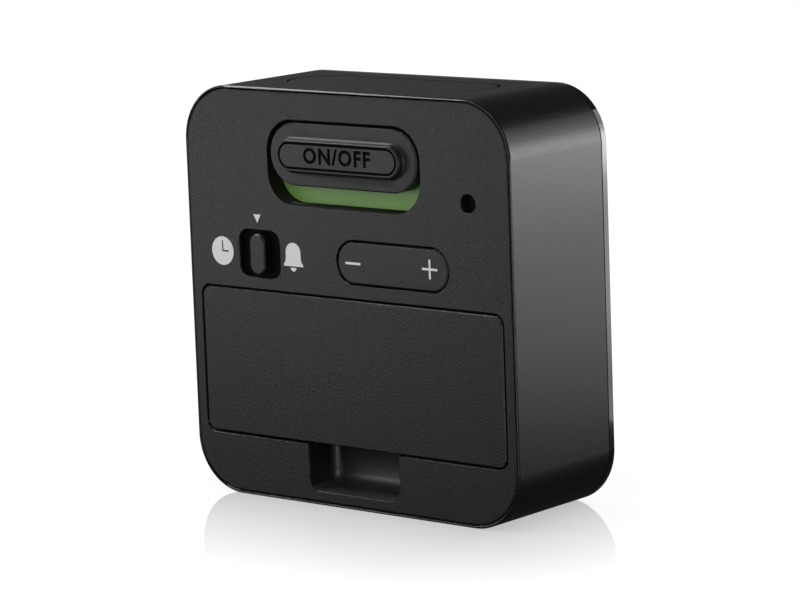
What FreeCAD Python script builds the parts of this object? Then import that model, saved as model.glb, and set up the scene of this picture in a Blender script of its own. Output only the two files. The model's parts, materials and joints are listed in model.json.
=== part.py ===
import FreeCAD
import Part
import Sketcher
import math
import os
import re

# Talking alarm clock, square case, seen from its back where all the controls are.
# The clock stands on its flat base at Z = 0, the display faces -Y and the back faces +Y.
# Lengths are millimetres and angles degrees.

SIZES = {
    # case
    "case_width": 70.0,
    "case_height": 70.0,
    "case_depth": 26.0,
    "case_radius": 9.6,
    "case_wall": 1.8,
    "front_wall": 1.2,
    "edge_round": 0.25,
    "parting_bevel": 0.12,
    # glossy front plate with its clear lens
    "panel_thickness": 1.8,
    "panel_round": 0.45,
    "display_rise": 1.0,
    "lens_border": 3.0,
    "lens_radius": 3.0,
    "lens_thickness": 1.1,
    "lens_gap": 0.08,
    "lens_inset": 0.06,
    "window_width": 48.0,
    "window_height": 32.0,
    "window_radius": 1.5,
    # liquid crystal display and its light
    "lcd_border": 1.0,
    "lcd_ledge": 3.5,
    "glass_thickness": 1.1,
    "guide_thickness": 2.2,
    "frame_wall": 1.0,
    "frame_gap": 0.2,
    "strip_width": 44.0,
    "strip_height": 2.0,
    "led_x": 14.0,
    "led_width": 3.0,
    "led_height": 1.0,
    "led_depth": 1.5,
    "led_gap": 0.3,
    # main circuit board
    "display_stack": 5.0,
    "board_side_gap": 6.7,
    "board_top_gap": 6.7,
    "board_bottom": 4.5,
    "board_thickness": 1.2,
    "board_boss_inset": 2.9,
    "board_boss_diameter": 4.4,
    "chip_size": 12.0,
    "chip_height": 1.4,
    "chip_rise": 41.5,
    "crystal_diameter": 2.0,
    "crystal_length": 6.0,
    "crystal_side": 9.0,
    "capacitor_diameter": 4.0,
    "capacitor_height": 5.4,
    "capacitor_side": 9.0,
    # rear cover
    "cover_thickness": 1.8,
    "rim_width": 0.3,
    "seam_gap": 0.15,
    "seam_angle": 30.0,
    "cover_clearance": 0.2,
    "skin_bevel": 0.12,
    # battery door and compartment
    "door_side": 2.64,
    "door_height": 24.82,
    "door_radius": 1.6,
    "door_bottom": 10.64,
    "door_gap": 0.28,
    "door_thickness": 1.6,
    "door_round": 0.18,
    "deck_thickness": 1.2,
    "deck_margin": 0.9,
    "cell_length": 44.5,
    "cell_diameter": 10.5,
    "cell_pitch": 10.7,
    "cell_door_gap": 0.25,
    "nub_diameter": 3.8,
    "nub_height": 1.2,
    "cell_round": 0.5,
    "cavity_width": 50.4,
    "cavity_height": 22.4,
    "cavity_floor_gap": 0.15,
    "box_wall": 1.0,
    "contact_thickness": 0.4,
    "contact_height": 9.0,
    "contact_bump": 1.2,
    "contact_bump_diameter": 5.0,
    "contact_rise": 9.0,
    "spring_wire": 0.5,
    "spring_diameter": 6.4,
    "spring_turns": 2.5,
    "hook_x": 18.0,
    "hook_width": 5.0,
    "hook_reach": 1.5,
    "hook_thickness": 1.05,
    "hook_toe": 1.0,
    "hook_stem": 0.8,
    "hook_clearance": 0.45,
    "latch_width": 14.0,
    "latch_thickness": 0.8,
    "latch_clearance": 0.35,
    # finger recess below the door
    "finger_width": 19.5,
    "finger_bottom": 2.5,
    "finger_depth": 7.0,
    "finger_radius": 2.1,
    "finger_fillet": 2.0,
    "finger_wall": 0.6,
    # alarm slider at the top of the back
    "alarm_width": 32.8,
    "alarm_height": 14.3,
    "alarm_radius": 5.5,
    "alarm_drop": 12.25,
    "alarm_depth": 3.2,
    "alarm_wall": 1.1,
    "alarm_travel": 3.1,
    "flag_thickness": 0.4,
    "flag_gap": 0.1,
    "knob_width": 31.6,
    "knob_height": 10.5,
    "knob_rise": 1.4,
    "knob_clearance": 0.2,
    "knob_bevel": 0.3,
    "grip_width": 26.3,
    "grip_height": 5.35,
    "grip_proud": 1.4,
    "grip_foot": 0.55,
    "grip_round": 0.2,
    "fork_width": 4.0,
    "fork_thickness": 1.0,
    "fork_gap": 0.05,
    "snap_x": 4.9,
    "snap_width": 1.2,
    "snap_height": 3.0,
    "snap_hook": 0.7,
    "snap_hook_height": 0.6,
    "slot_clearance": 0.2,
    # slide switches on the key board
    "lever_size": 1.6,
    "lever_height": 2.4,
    "lever_stand": 1.4,
    "slide_switch_length": 9.6,
    "slide_switch_width": 4.2,
    "slide_switch_height": 2.8,
    "lever_gap": 0.1,
    # set switch
    "set_x": 19.0,
    "row_drop": 28.14,
    "set_opening_width": 9.1,
    "set_opening_height": 8.1,
    "set_opening_radius": 2.1,
    "set_travel": 1.9,
    "set_knob_width": 3.4,
    "set_knob_height": 7.0,
    "set_knob_proud": 0.7,
    "set_knob_round": 0.3,
    "apron_margin": 0.35,
    "apron_thickness": 0.75,
    "apron_gap": 0.15,
    "apron_side_gap": 0.15,
    # rocker for minus and plus
    "rocker_x": -9.9,
    "rocker_opening_width": 23.9,
    "rocker_opening_height": 7.6,
    "rocker_gap": 0.27,
    "rocker_thickness": 2.0,
    "rocker_round": 0.3,
    "pivot_diameter": 1.4,
    "pivot_depth": 2.8,
    "pivot_length": 1.0,
    "pivot_clearance": 0.04,
    "ear_width": 3.4,
    "ear_gap": 0.1,
    "lug_width": 3.0,
    "lug_thickness": 1.2,
    "post_spread": 8.0,
    "post_size": 1.8,
    "post_clearance": 0.36,
    "tact_size": 5.2,
    "tact_height": 3.0,
    "tact_plunger_diameter": 2.6,
    "tact_plunger_height": 0.7,
    # key board behind the controls
    "key_board_depth": 7.8,
    "key_board_x": 2.0,
    "key_board_width": 50.0,
    "key_board_gap": 2.0,
    "key_post_size": 3.2,
    "stake_size": 1.6,
    "stake_head": 2.6,
    "stake_head_height": 0.6,
    "stake_clearance": 0.1,
    "key_post_right_x": 24.5,
    "key_post_right_drop": 14.0,
    "key_post_middle_x": 7.0,
    "key_post_middle_drop": 22.5,
    "key_post_left_x": -20.6,
    "key_post_left_drop": 7.0,
    # speaker behind its small hole
    "speaker_inset": 9.4,
    "speaker_drop": 16.8,
    "speaker_diameter": 13.0,
    "speaker_height": 3.2,
    "speaker_step": 1.2,
    "speaker_gap": 0.15,
    "cradle_wall": 0.7,
    "gasket_thickness": 0.8,
    "gasket_bore": 9.6,
    "sound_inset": 8.83,
    "sound_diameter": 3.05,
    # button in the top of the case
    "button_length": 42.0,
    "button_width": 12.4,
    "button_y": -0.5,
    "button_gap": 0.25,
    "button_round": 0.3,
    "button_travel": 0.8,
    "flange_margin": 0.8,
    "flange_thickness": 1.0,
    "flange_gap": 0.05,
    "button_pin_size": 2.4,
    "return_spring_x": 15.0,
    "return_spring_diameter": 4.0,
    "return_spring_wire": 0.4,
    "return_spring_turns": 2.5,
    "return_spring_length": 3.8,
    "peg_size": 1.8,
    "peg_height": 0.9,
    "shelf_width": 8.0,
    "shelf_thickness": 1.2,
    "shelf_reach": 3.2,
    "button_switch_width": 6.0,
    "button_switch_depth": 3.4,
    "button_switch_height": 3.6,
    "button_switch_drop": 0.3,
    "plunger_size": 2.0,
    "plunger_stand": 1.4,
    "plunger_sunk": 1.0,
    "plunger_gap": 0.05,
    # screws
    "case_screw_inset": 5.7,
    "case_screw_diameter": 2.0,
    "case_screw_length": 10.0,
    "case_screw_head": 3.8,
    "case_screw_head_height": 1.3,
    "case_pillar_diameter": 5.2,
    "case_pillar_depth": 6.8,
    "case_screw_seat": 2.2,
    "counterbore_gap": 0.2,
    "board_screw_diameter": 1.6,
    "board_screw_length": 4.8,
    "board_screw_head": 3.0,
    "board_screw_head_height": 1.0,
    "screw_hole_gap": 0.1,
    "pilot_gap": 0.02,
    "pilot_extra": 0.6,
    "cross_width": 0.5,
    "cross_depth": 0.6,
}

# Sizes and places that follow from the ones above, kept as formulas in the same sheet.
FOLLOWING = {
    "display_z": "case_height / 2 + display_rise",
    "lens_width": "window_width + 2 * lens_border",
    "lens_height": "window_height + 2 * lens_border",
    "lcd_width": "window_width + 2 * lcd_border",
    "lcd_height": "window_height + 2 * lcd_border",
    "board_width": "case_width - 2 * case_wall - 2 * board_side_gap",
    "board_height": "case_height - case_wall - board_top_gap - board_bottom",
    "board_boss_x": "board_width / 2 - board_boss_inset",
    "chip_z": "board_bottom + chip_rise",
    "crystal_x": "chip_size / 2 + crystal_side",
    "capacitor_x": "-chip_size / 2 - capacitor_side",
    "door_width": "case_width - 2 * door_side",
    "door_z": "door_bottom + door_height / 2",
    "alarm_z": "case_height - alarm_drop",
    "knob_z": "alarm_z + knob_rise",
    "set_z": "case_height - row_drop",
    "rocker_z": "case_height - row_drop",
    "key_post_right_z": "case_height - key_post_right_drop",
    "key_post_middle_z": "case_height - key_post_middle_drop",
    "key_post_left_z": "case_height - key_post_left_drop",
    "speaker_x": "speaker_inset - case_width / 2",
    "speaker_z": "case_height - speaker_drop",
    "sound_x": "sound_inset - case_width / 2",
    "case_screw_x": "case_width / 2 - case_screw_inset",
}

# Faces that several pieces share, written from the sizes above.
REAR = "(case_depth / 2)"
FRONT = "(-case_depth / 2)"
PANEL_BACK = "(panel_thickness - case_depth / 2)"
SHELL_FLOOR = "(panel_thickness + front_wall - case_depth / 2)"
COVER_BACK = "(case_depth / 2 - cover_thickness)"
MIDDLE = "(case_height / 2)"
BOARD_FRONT = "(panel_thickness + front_wall + display_stack - case_depth / 2)"
BOARD_BACK = f"({BOARD_FRONT} + board_thickness)"
BOARD_TOP = "(board_bottom + board_height)"
BOARD_BOSS_Z = f"({BOARD_TOP} - board_boss_inset)"
BOARD_POST_Z = "(board_bottom + board_boss_inset)"
DOOR_BACK = "(case_depth / 2 - door_thickness)"
DECK_BACK = f"({DOOR_BACK} - deck_thickness)"
DOOR_TOP = "(door_z + door_height / 2)"
DOOR_BOTTOM = "(door_z - door_height / 2)"
CELL_AXIS = f"({DOOR_BACK} - cell_door_gap - cell_diameter / 2)"
CAVITY_FLOOR = f"({CELL_AXIS} - cell_diameter / 2 - cavity_floor_gap)"
CAVITY_BOTTOM = "(door_z - cavity_height / 2)"
CAVITY_TOP = "(door_z + cavity_height / 2)"
FINGER_TOP = f"({CAVITY_BOTTOM} - box_wall)"
ALARM_FLOOR = f"({REAR} - alarm_depth - flag_thickness)"
ALARM_BACK = f"({ALARM_FLOOR} - box_wall)"
KNOB_BACK = f"({REAR} - alarm_depth + knob_clearance)"
KEY_FACE = "(case_depth / 2 - key_board_depth)"
SWITCH_TOP = f"({KEY_FACE} + slide_switch_height)"
SWITCH_Z = "(knob_z - alarm_travel / 2)"
FLOOR_SLOT_HEIGHT = "(lever_size + 2 * fork_gap + 2 * fork_thickness + alarm_travel + 2 * slot_clearance)"
FLOOR_SLOT_WIDTH = "(2 * snap_x + snap_width + 2 * slot_clearance)"
TACT_TOP = f"({KEY_FACE} + tact_height + tact_plunger_height)"
PIVOT_LEVEL = f"({REAR} - pivot_depth)"
APRON_TOP = f"({COVER_BACK} + apron_thickness)"
APRON_WIDTH = "(set_opening_width + 2 * set_travel + 2 * apron_margin)"
APRON_HEIGHT = "(set_opening_height + 2 * apron_margin + 2 * apron_gap)"
TOP_INSIDE = "(case_height - case_wall)"
FLANGE_TOP = f"({TOP_INSIDE} - flange_gap)"
FLANGE_BACK = f"({FLANGE_TOP} - flange_thickness)"
SHELF_TOP = f"({FLANGE_BACK} - return_spring_length)"
BUTTON_SWITCH_TOP = f"({BOARD_TOP} - button_switch_drop)"
PLUNGER_TOP = f"({BUTTON_SWITCH_TOP} + plunger_stand)"
PIN_Y = f"({BOARD_BACK} + button_switch_depth / 2)"
PILLAR_BACK = "(case_depth / 2 - case_pillar_depth)"
HEAD_SEAT = f"({PILLAR_BACK} + case_screw_seat)"

doc = FreeCAD.newDocument("talking_clock")
sheet = doc.addObject("Spreadsheet::Sheet", "sizes")
for row, (size_name, size) in enumerate((SIZES | FOLLOWING).items(), 1):
    sheet.set(f"A{row}", size_name)
    sheet.set(f"B{row}", str(size) if size_name in SIZES else f"={size}")
    sheet.setAlias(f"B{row}", size_name)
doc.recompute()


def sized(formula):
    """Point every size name in a formula at its cell in the sheet."""
    def cell(word):
        name = word.group()
        return f"sizes.{name}" if name in SIZES or name in FOLLOWING else name
    return re.sub(r"[a-z][a-z0-9_]*", cell, formula)


def amount(formula):
    """Work out a formula of sizes as a plain number."""
    return float(sheet.evalExpression(sized(formula)))


def bind(thing, field, formula):
    """Tie one field of an object to a formula of sizes."""
    thing.setExpression(field, sized(formula))


def limit(sketch, kind, *places, name=None, formula=None):
    """Add a constraint, and tie it to a formula when it has a size."""
    if formula is None:
        sketch.addConstraint(Sketcher.Constraint(kind, *places))
        return
    number = sketch.addConstraint(Sketcher.Constraint(kind, *places, amount(formula)))
    sketch.renameConstraint(number, name)
    bind(sketch, f"Constraints.{name}", formula)


def arc(x, y, radius, start, end):
    """An arc of a circle between two angles in degrees."""
    circle = Part.Circle(FreeCAD.Vector(x, y, 0), FreeCAD.Vector(0, 0, 1), radius)
    return Part.ArcOfCircle(circle, math.radians(start), math.radians(end))


def line(x_start, y_start, x_end, y_end):
    """A straight edge of an outline."""
    return Part.LineSegment(FreeCAD.Vector(x_start, y_start, 0), FreeCAD.Vector(x_end, y_end, 0))


def draw_rounded(sketch, width, height, radius):
    """A rectangle with four round corners, centred on the sketch."""
    w, h, r = amount(width) / 2, amount(height) / 2, amount(radius)
    edges = [line(-w + r, -h, w - r, -h), arc(w - r, -h + r, r, 270, 360),
             line(w, -h + r, w, h - r), arc(w - r, h - r, r, 0, 90),
             line(w - r, h, -w + r, h), arc(-w + r, h - r, r, 90, 180),
             line(-w, h - r, -w, -h + r), arc(-w + r, -h + r, r, 180, 270)]
    ring = [sketch.addGeometry(edge, False) for edge in edges]
    bottom, corner, right, second, top, third, left, fourth = ring
    for here, after in zip(ring, ring[1:] + ring[:1]):
        limit(sketch, "Tangent", here, 2, after, 1)
    for level in (bottom, top):
        limit(sketch, "Horizontal", level)
    for upright in (left, right):
        limit(sketch, "Vertical", upright)
    for other in (second, third, fourth):
        limit(sketch, "Equal", corner, other)
    limit(sketch, "Radius", corner, name="corner_radius", formula=radius)
    limit(sketch, "DistanceX", left, 1, right, 1, name="width", formula=width)
    limit(sketch, "DistanceY", bottom, 1, top, 1, name="height", formula=height)
    limit(sketch, "Symmetric", left, 1, right, 1, -1, 1)


def draw_box(sketch, width, height):
    """A plain rectangle, centred on the sketch."""
    w, h = amount(width) / 2, amount(height) / 2
    edges = [line(-w, -h, w, -h), line(w, -h, w, h), line(w, h, -w, h), line(-w, h, -w, -h)]
    bottom, right, top, left = [sketch.addGeometry(edge, False) for edge in edges]
    ring = [bottom, right, top, left]
    for here, after in zip(ring, ring[1:] + ring[:1]):
        limit(sketch, "Coincident", here, 2, after, 1)
    for level in (bottom, top):
        limit(sketch, "Horizontal", level)
    for upright in (left, right):
        limit(sketch, "Vertical", upright)
    limit(sketch, "DistanceX", bottom, 1, bottom, 2, name="width", formula=width)
    limit(sketch, "DistanceY", right, 1, right, 2, name="height", formula=height)
    limit(sketch, "Symmetric", bottom, 1, top, 1, -1, 1)


def draw_slot(sketch, width, height):
    """A slot with two half round ends, centred on the sketch and lying along its longer side."""
    w, h = amount(width) / 2, amount(height) / 2
    lying = w > h
    r, reach = (h, w - h) if lying else (w, h - w)
    if lying:
        edges = [line(-reach, -r, reach, -r), arc(reach, 0, r, 270, 450),
                 line(reach, r, -reach, r), arc(-reach, 0, r, 90, 270)]
    else:
        edges = [line(r, -reach, r, reach), arc(0, reach, r, 0, 180),
                 line(-r, reach, -r, -reach), arc(0, -reach, r, 180, 360)]
    first, far_end, second, near_end = [sketch.addGeometry(edge, False) for edge in edges]
    ring = [first, far_end, second, near_end]
    for here, after in zip(ring, ring[1:] + ring[:1]):
        limit(sketch, "Tangent", here, 2, after, 1)
    limit(sketch, "Horizontal" if lying else "Vertical", first)
    limit(sketch, "Equal", far_end, near_end)
    limit(sketch, "Symmetric", near_end, 3, far_end, 3, -1, 1)
    if lying:
        limit(sketch, "Radius", far_end, name="end_radius", formula=f"({height}) / 2")
        limit(sketch, "DistanceX", near_end, 3, far_end, 3, name="reach", formula=f"({width}) - ({height})")
    else:
        limit(sketch, "Radius", far_end, name="end_radius", formula=f"({width}) / 2")
        limit(sketch, "DistanceY", near_end, 3, far_end, 3, name="reach", formula=f"({height}) - ({width})")


def draw_tub(sketch, width, height, radius):
    """A tub outline: square at the top, round at its two lower corners, centred on the sketch."""
    w, h, r = amount(width) / 2, amount(height) / 2, amount(radius)
    edges = [line(-w + r, -h, w - r, -h), arc(w - r, -h + r, r, 270, 360), line(w, -h + r, w, h),
             line(w, h, -w, h), line(-w, h, -w, -h + r), arc(-w + r, -h + r, r, 180, 270)]
    bottom, right_arc, right, top, left, left_arc = [sketch.addGeometry(edge, False) for edge in edges]
    for here, after in ((bottom, right_arc), (right_arc, right), (left, left_arc), (left_arc, bottom)):
        limit(sketch, "Tangent", here, 2, after, 1)
    for here, after in ((right, top), (top, left)):
        limit(sketch, "Coincident", here, 2, after, 1)
    for level in (bottom, top):
        limit(sketch, "Horizontal", level)
    for upright in (left, right):
        limit(sketch, "Vertical", upright)
    limit(sketch, "Equal", right_arc, left_arc)
    limit(sketch, "Radius", right_arc, name="corner_radius", formula=radius)
    limit(sketch, "DistanceX", left, 1, right, 2, name="width", formula=width)
    limit(sketch, "DistanceY", bottom, 2, right, 2, name="height", formula=height)
    limit(sketch, "DistanceX", -1, 1, right, 2, name="half_width", formula=f"({width}) / 2")
    limit(sketch, "DistanceY", -1, 1, right, 2, name="half_height", formula=f"({height}) / 2")


def draw_disc(sketch, diameter):
    """A circle, centred on the sketch."""
    centre = FreeCAD.Vector(0, 0, 0)
    circle = sketch.addGeometry(Part.Circle(centre, FreeCAD.Vector(0, 0, 1), amount(diameter) / 2), False)
    limit(sketch, "Coincident", circle, 3, -1, 1)
    limit(sketch, "Diameter", circle, name="diameter", formula=diameter)


def draw_ring(sketch, outer, inner):
    """Two circles about the centre of the sketch."""
    for name, diameter in (("outer", outer), ("inner", inner)):
        disc = Part.Circle(FreeCAD.Vector(0, 0, 0), FreeCAD.Vector(0, 0, 1), amount(diameter) / 2)
        circle = sketch.addGeometry(disc, False)
        limit(sketch, "Coincident", circle, 3, -1, 1)
        limit(sketch, "Diameter", circle, name=name, formula=diameter)


def draw_points(sketch, *points):
    """A closed outline of straight edges through points given from the sketch's own origin."""
    places = [(amount(x), amount(y)) for x, y in points]
    edges = [sketch.addGeometry(line(*here, *after), False)
             for here, after in zip(places, places[1:] + places[:1])]
    for here, after in zip(edges, edges[1:] + edges[:1]):
        limit(sketch, "Coincident", here, 2, after, 1)
    for number, (edge, (x, y)) in enumerate(zip(edges, points)):
        limit(sketch, "DistanceX", -1, 1, edge, 1, name=f"x_{number}", formula=x)
        limit(sketch, "DistanceY", -1, 1, edge, 1, name=f"y_{number}", formula=y)


# Each view gives a body's own plane and the sign that turns a level into a sketch offset.
VIEWS = {"rear": ("XZ_Plane", "-"), "top": ("XY_Plane", ""), "side": ("YZ_Plane", "")}


class Piece:
    """One separate piece of the clock: a body that grows by sketched outlines."""

    def __init__(self, label):
        self.body = doc.addObject("PartDesign::Body", label)
        self.body.Label = label

    def plane(self, role):
        """The body's own origin plane of that role."""
        return next(item for item in self.body.Origin.OriginFeatures if item.Role == role)

    def outline(self, name, view, shape, centre, level):
        """Draw a shape on a plane of the body, at a level along the view."""
        role, sign = VIEWS[view]
        sketch = self.body.newObject("Sketcher::SketchObject", f"{self.body.Name}_{name}_outline")
        sketch.AttachmentSupport = [(self.plane(role), "")]
        sketch.MapMode = "FlatFace"
        bind(sketch, "AttachmentOffset.Base.x", centre[0])
        bind(sketch, "AttachmentOffset.Base.y", centre[1])
        bind(sketch, "AttachmentOffset.Base.z", f"{sign}({level})")
        draw, *measures = shape
        draw(sketch, *measures)
        return sketch

    def feature(self, kind, name, sketch, length, taper, backwards):
        """Pad or pocket a sketch, with a taper where one is given."""
        made = self.body.newObject(kind, f"{self.body.Name}_{name}")
        made.Profile = sketch
        made.Reversed = backwards
        bind(made, "Length", length)
        if taper:
            bind(made, "TaperAngle", taper)
        sketch.Visibility = False
        return made

    def add(self, name, view, shape, centre, low, high, taper=None):
        """Add material between two levels."""
        start = high if view == "rear" else low
        sketch = self.outline(name, view, shape, centre, start)
        return self.feature("PartDesign::Pad", name, sketch, f"({high}) - ({low})", taper, False)

    def cut(self, name, view, shape, centre, low, high, taper=None):
        """Take material away between two levels; a tapered cut starts from the outer face."""
        from_outside = bool(taper) and view == "rear"
        start = high if (view != "rear" or from_outside) else low
        sketch = self.outline(name, view, shape, centre, start)
        made = self.feature("PartDesign::Pocket", name, sketch, f"({high}) - ({low})", taper, from_outside)
        cuts.append(made)
        return made

    def spin(self, name, view, shape, centre, level, axis):
        """Turn a half outline once about its own horizontal or upright axis."""
        sketch = self.outline(name, view, shape, centre, level)
        made = self.body.newObject("PartDesign::Revolution", f"{self.body.Name}_{name}")
        made.Profile = sketch
        made.ReferenceAxis = (sketch, [axis])
        made.Angle = 360
        sketch.Visibility = False
        return made

    def mirror(self, name, features, role="YZ_Plane"):
        """Repeat features on the other side of an origin plane."""
        made = self.body.newObject("PartDesign::Mirrored", f"{self.body.Name}_{name}")
        made.Originals = features
        made.MirrorPlane = (self.plane(role), [""])
        self.body.Tip = made
        return made

    def edges(self, chooser):
        """The names of the edges that a test accepts."""
        doc.recompute()
        return [f"Edge{number}" for number, edge in enumerate(self.body.Shape.Edges, 1) if chooser(edge)]

    def soften(self, name, size, chooser, kind="Fillet"):
        """Round or bevel the edges that a test accepts."""
        chosen = self.edges(chooser)
        if not chosen:
            raise RuntimeError(f"no edge for {name} on {self.body.Label}")
        base = self.body.Tip
        made = self.body.newObject(f"PartDesign::{kind}", f"{self.body.Name}_{name}")
        made.Base = (base, chosen)
        bind(made, "Radius" if kind == "Fillet" else "Size", size)
        return made


NEAR = 1e-4
cuts = []


def at_level(axis, formula):
    """A test for edges that lie in one plane across an axis."""
    level = amount(formula)

    def accepts(edge):
        box = edge.BoundBox
        low = getattr(box, axis + "Min")
        high = getattr(box, axis + "Max")
        return abs(low - level) < NEAR and abs(high - level) < NEAR
    return accepts


def within(centre, width, height, view="rear"):
    """A test for edges whose whole box lies inside a rectangle seen from the rear or the top."""
    across, up = amount(centre[0]), amount(centre[1])
    w, h = amount(width) / 2 + NEAR, amount(height) / 2 + NEAR

    def accepts(edge):
        box = edge.BoundBox
        low, high = (box.ZMin, box.ZMax) if view == "rear" else (box.YMin, box.YMax)
        return box.XMin > across - w and box.XMax < across + w and low > up - h and high < up + h
    return accepts


def both(*tests):
    """A test that passes where all its tests pass."""
    return lambda edge: all(test(edge) for test in tests)


def make_housing():
    """Deep square shell: side walls, front wall with the display opening, bosses and spring shelves."""
    piece = Piece("main_housing")
    centre = ("0", MIDDLE)
    piece.add("shell", "rear", (draw_rounded, "case_width", "case_height", "case_radius"),
              centre, PANEL_BACK, REAR)
    piece.soften("rear_edge", "edge_round", at_level("Y", REAR), "Chamfer")
    piece.soften("front_edge", "parting_bevel", at_level("Y", PANEL_BACK), "Chamfer")
    piece.cut("inside", "rear", (draw_rounded, "case_width - 2 * case_wall", "case_height - 2 * case_wall",
                                 "case_radius - case_wall"), centre, SHELL_FLOOR, REAR)
    piece.cut("cover_seat", "rear",
              (draw_rounded, "case_width - 2 * rim_width", "case_height - 2 * rim_width",
               "case_radius - rim_width"), centre, COVER_BACK, REAR, "-seam_angle")
    piece.cut("display_opening", "rear", (draw_rounded, "window_width", "window_height", "window_radius"),
              ("0", "display_z"), PANEL_BACK, SHELL_FLOOR)
    piece.cut("button_opening", "top", (draw_slot, "button_length + 2 * button_gap",
                                        "button_width + 2 * button_gap"),
              ("0", "button_y"), TOP_INSIDE, "case_height")
    pilot = "case_screw_diameter + 2 * pilot_gap"
    boss = piece.add("case_boss", "rear", (draw_disc, "case_pillar_diameter"), ("case_screw_x", "door_z"),
                     SHELL_FLOOR, PILLAR_BACK)
    piece.mirror("case_bosses", [boss])
    bore = piece.cut("case_pilot", "rear", (draw_disc, pilot), ("case_screw_x", "door_z"),
                     f"{HEAD_SEAT} - case_screw_length - pilot_extra", PILLAR_BACK)
    piece.mirror("case_pilots", [bore])
    boss = piece.add("board_boss", "rear", (draw_disc, "board_boss_diameter"), ("board_boss_x", BOARD_BOSS_Z),
                     SHELL_FLOOR, BOARD_FRONT)
    piece.mirror("board_bosses", [boss])
    bore = piece.cut("board_pilot", "rear", (draw_disc, "board_screw_diameter + 2 * pilot_gap"),
                     ("board_boss_x", BOARD_BOSS_Z),
                     f"{BOARD_BACK} - board_screw_length - pilot_extra", BOARD_FRONT)
    piece.mirror("board_pilots", [bore])
    post = piece.add("board_post", "rear", (draw_box, "board_boss_diameter", "board_boss_diameter"),
                     ("board_boss_x", BOARD_POST_Z), SHELL_FLOOR, BOARD_FRONT)
    pin = piece.add("board_pin", "rear", (draw_box, "stake_size", "stake_size"),
                    ("board_boss_x", BOARD_POST_Z), BOARD_FRONT, f"{BOARD_BACK} + stake_head_height")
    piece.mirror("board_posts", [post, pin])
    shelf = piece.add("spring_shelf", "top", (draw_box, "shelf_width", f"shelf_reach - {SHELL_FLOOR}"),
                      ("return_spring_x", f"(shelf_reach + {SHELL_FLOOR}) / 2"),
                      f"{SHELF_TOP} - shelf_thickness", SHELF_TOP)
    peg = piece.add("spring_peg", "top", (draw_box, "peg_size", "peg_size"), ("return_spring_x", "button_y"),
                    SHELF_TOP, f"{SHELF_TOP} + peg_height")
    piece.mirror("spring_shelves", [shelf, peg])
    return piece


def make_front_panel():
    """Glossy front plate, as large as the case, with a seat and a window for the lens."""
    piece = Piece("front_panel")
    piece.add("plate", "rear", (draw_rounded, "case_width", "case_height", "case_radius"),
              ("0", MIDDLE), FRONT, PANEL_BACK)
    piece.soften("front_edge", "panel_round", at_level("Y", FRONT), "Chamfer")
    piece.soften("back_edge", "parting_bevel", at_level("Y", PANEL_BACK), "Chamfer")
    piece.cut("lens_seat", "rear", (draw_rounded, "lens_width + 2 * lens_gap", "lens_height + 2 * lens_gap",
                                    "lens_radius + lens_gap"),
              ("0", "display_z"), FRONT, f"{FRONT} + lens_inset + lens_thickness")
    piece.cut("window", "rear", (draw_rounded, "window_width", "window_height", "window_radius"),
              ("0", "display_z"), f"{FRONT} + lens_inset + lens_thickness", PANEL_BACK)
    return piece


def make_display():
    """Clear lens, display glass, light guide, their frame, the contact strip and the two lamps."""
    lens = Piece("display_lens")
    lens.add("plate", "rear", (draw_rounded, "lens_width", "lens_height", "lens_radius"),
             ("0", "display_z"), f"{FRONT} + lens_inset", f"{FRONT} + lens_inset + lens_thickness")
    glass = Piece("lcd_panel")
    glass.add("front_glass", "rear", (draw_box, "lcd_width", "lcd_height + lcd_ledge"),
              ("0", "display_z - lcd_ledge / 2"), SHELL_FLOOR, f"{SHELL_FLOOR} + glass_thickness")
    glass.add("rear_glass", "rear", (draw_box, "lcd_width", "lcd_height"),
              ("0", "display_z"), f"{SHELL_FLOOR} + glass_thickness", f"{SHELL_FLOOR} + 2 * glass_thickness")
    guide = Piece("light_guide")
    guide_front = f"{SHELL_FLOOR} + 2 * glass_thickness"
    guide.add("plate", "rear", (draw_box, "lcd_width", "lcd_height"), ("0", "display_z"),
              guide_front, f"{guide_front} + guide_thickness")
    notch = guide.cut("lamp_notch", "rear", (draw_box, "led_width + 2 * led_gap", "led_height + 2 * led_gap"),
                      ("led_x", "display_z + lcd_height / 2 - led_height / 2 - led_gap"),
                      guide_front, f"{guide_front} + guide_thickness")
    guide.mirror("lamp_notches", [notch])
    frame = Piece("display_frame")
    frame_centre = ("0", "display_z - lcd_ledge / 2")
    frame.add("frame", "rear", (draw_box, "lcd_width + 2 * frame_gap + 2 * frame_wall",
                                "lcd_height + lcd_ledge + 2 * frame_gap + 2 * frame_wall"),
              frame_centre, SHELL_FLOOR, BOARD_FRONT)
    frame.cut("inside", "rear",
              (draw_box, "lcd_width + 2 * frame_gap", "lcd_height + lcd_ledge + 2 * frame_gap"),
              frame_centre, SHELL_FLOOR, BOARD_FRONT)
    strip = Piece("contact_strip")
    strip.add("strip", "rear", (draw_box, "strip_width", "strip_height"),
              ("0", "display_z - lcd_height / 2 - lcd_ledge / 2"), f"{SHELL_FLOOR} + glass_thickness",
              BOARD_FRONT)
    lamps = Piece("backlight_lamps")
    lamp = lamps.add("lamp", "rear", (draw_box, "led_width", "led_height"),
                     ("led_x", "display_z + lcd_height / 2 - led_height / 2 - led_gap"),
                     f"{BOARD_FRONT} - led_depth", BOARD_FRONT)
    lamps.mirror("lamps", [lamp])
    return [lens, glass, guide, frame, strip, lamps]


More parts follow.
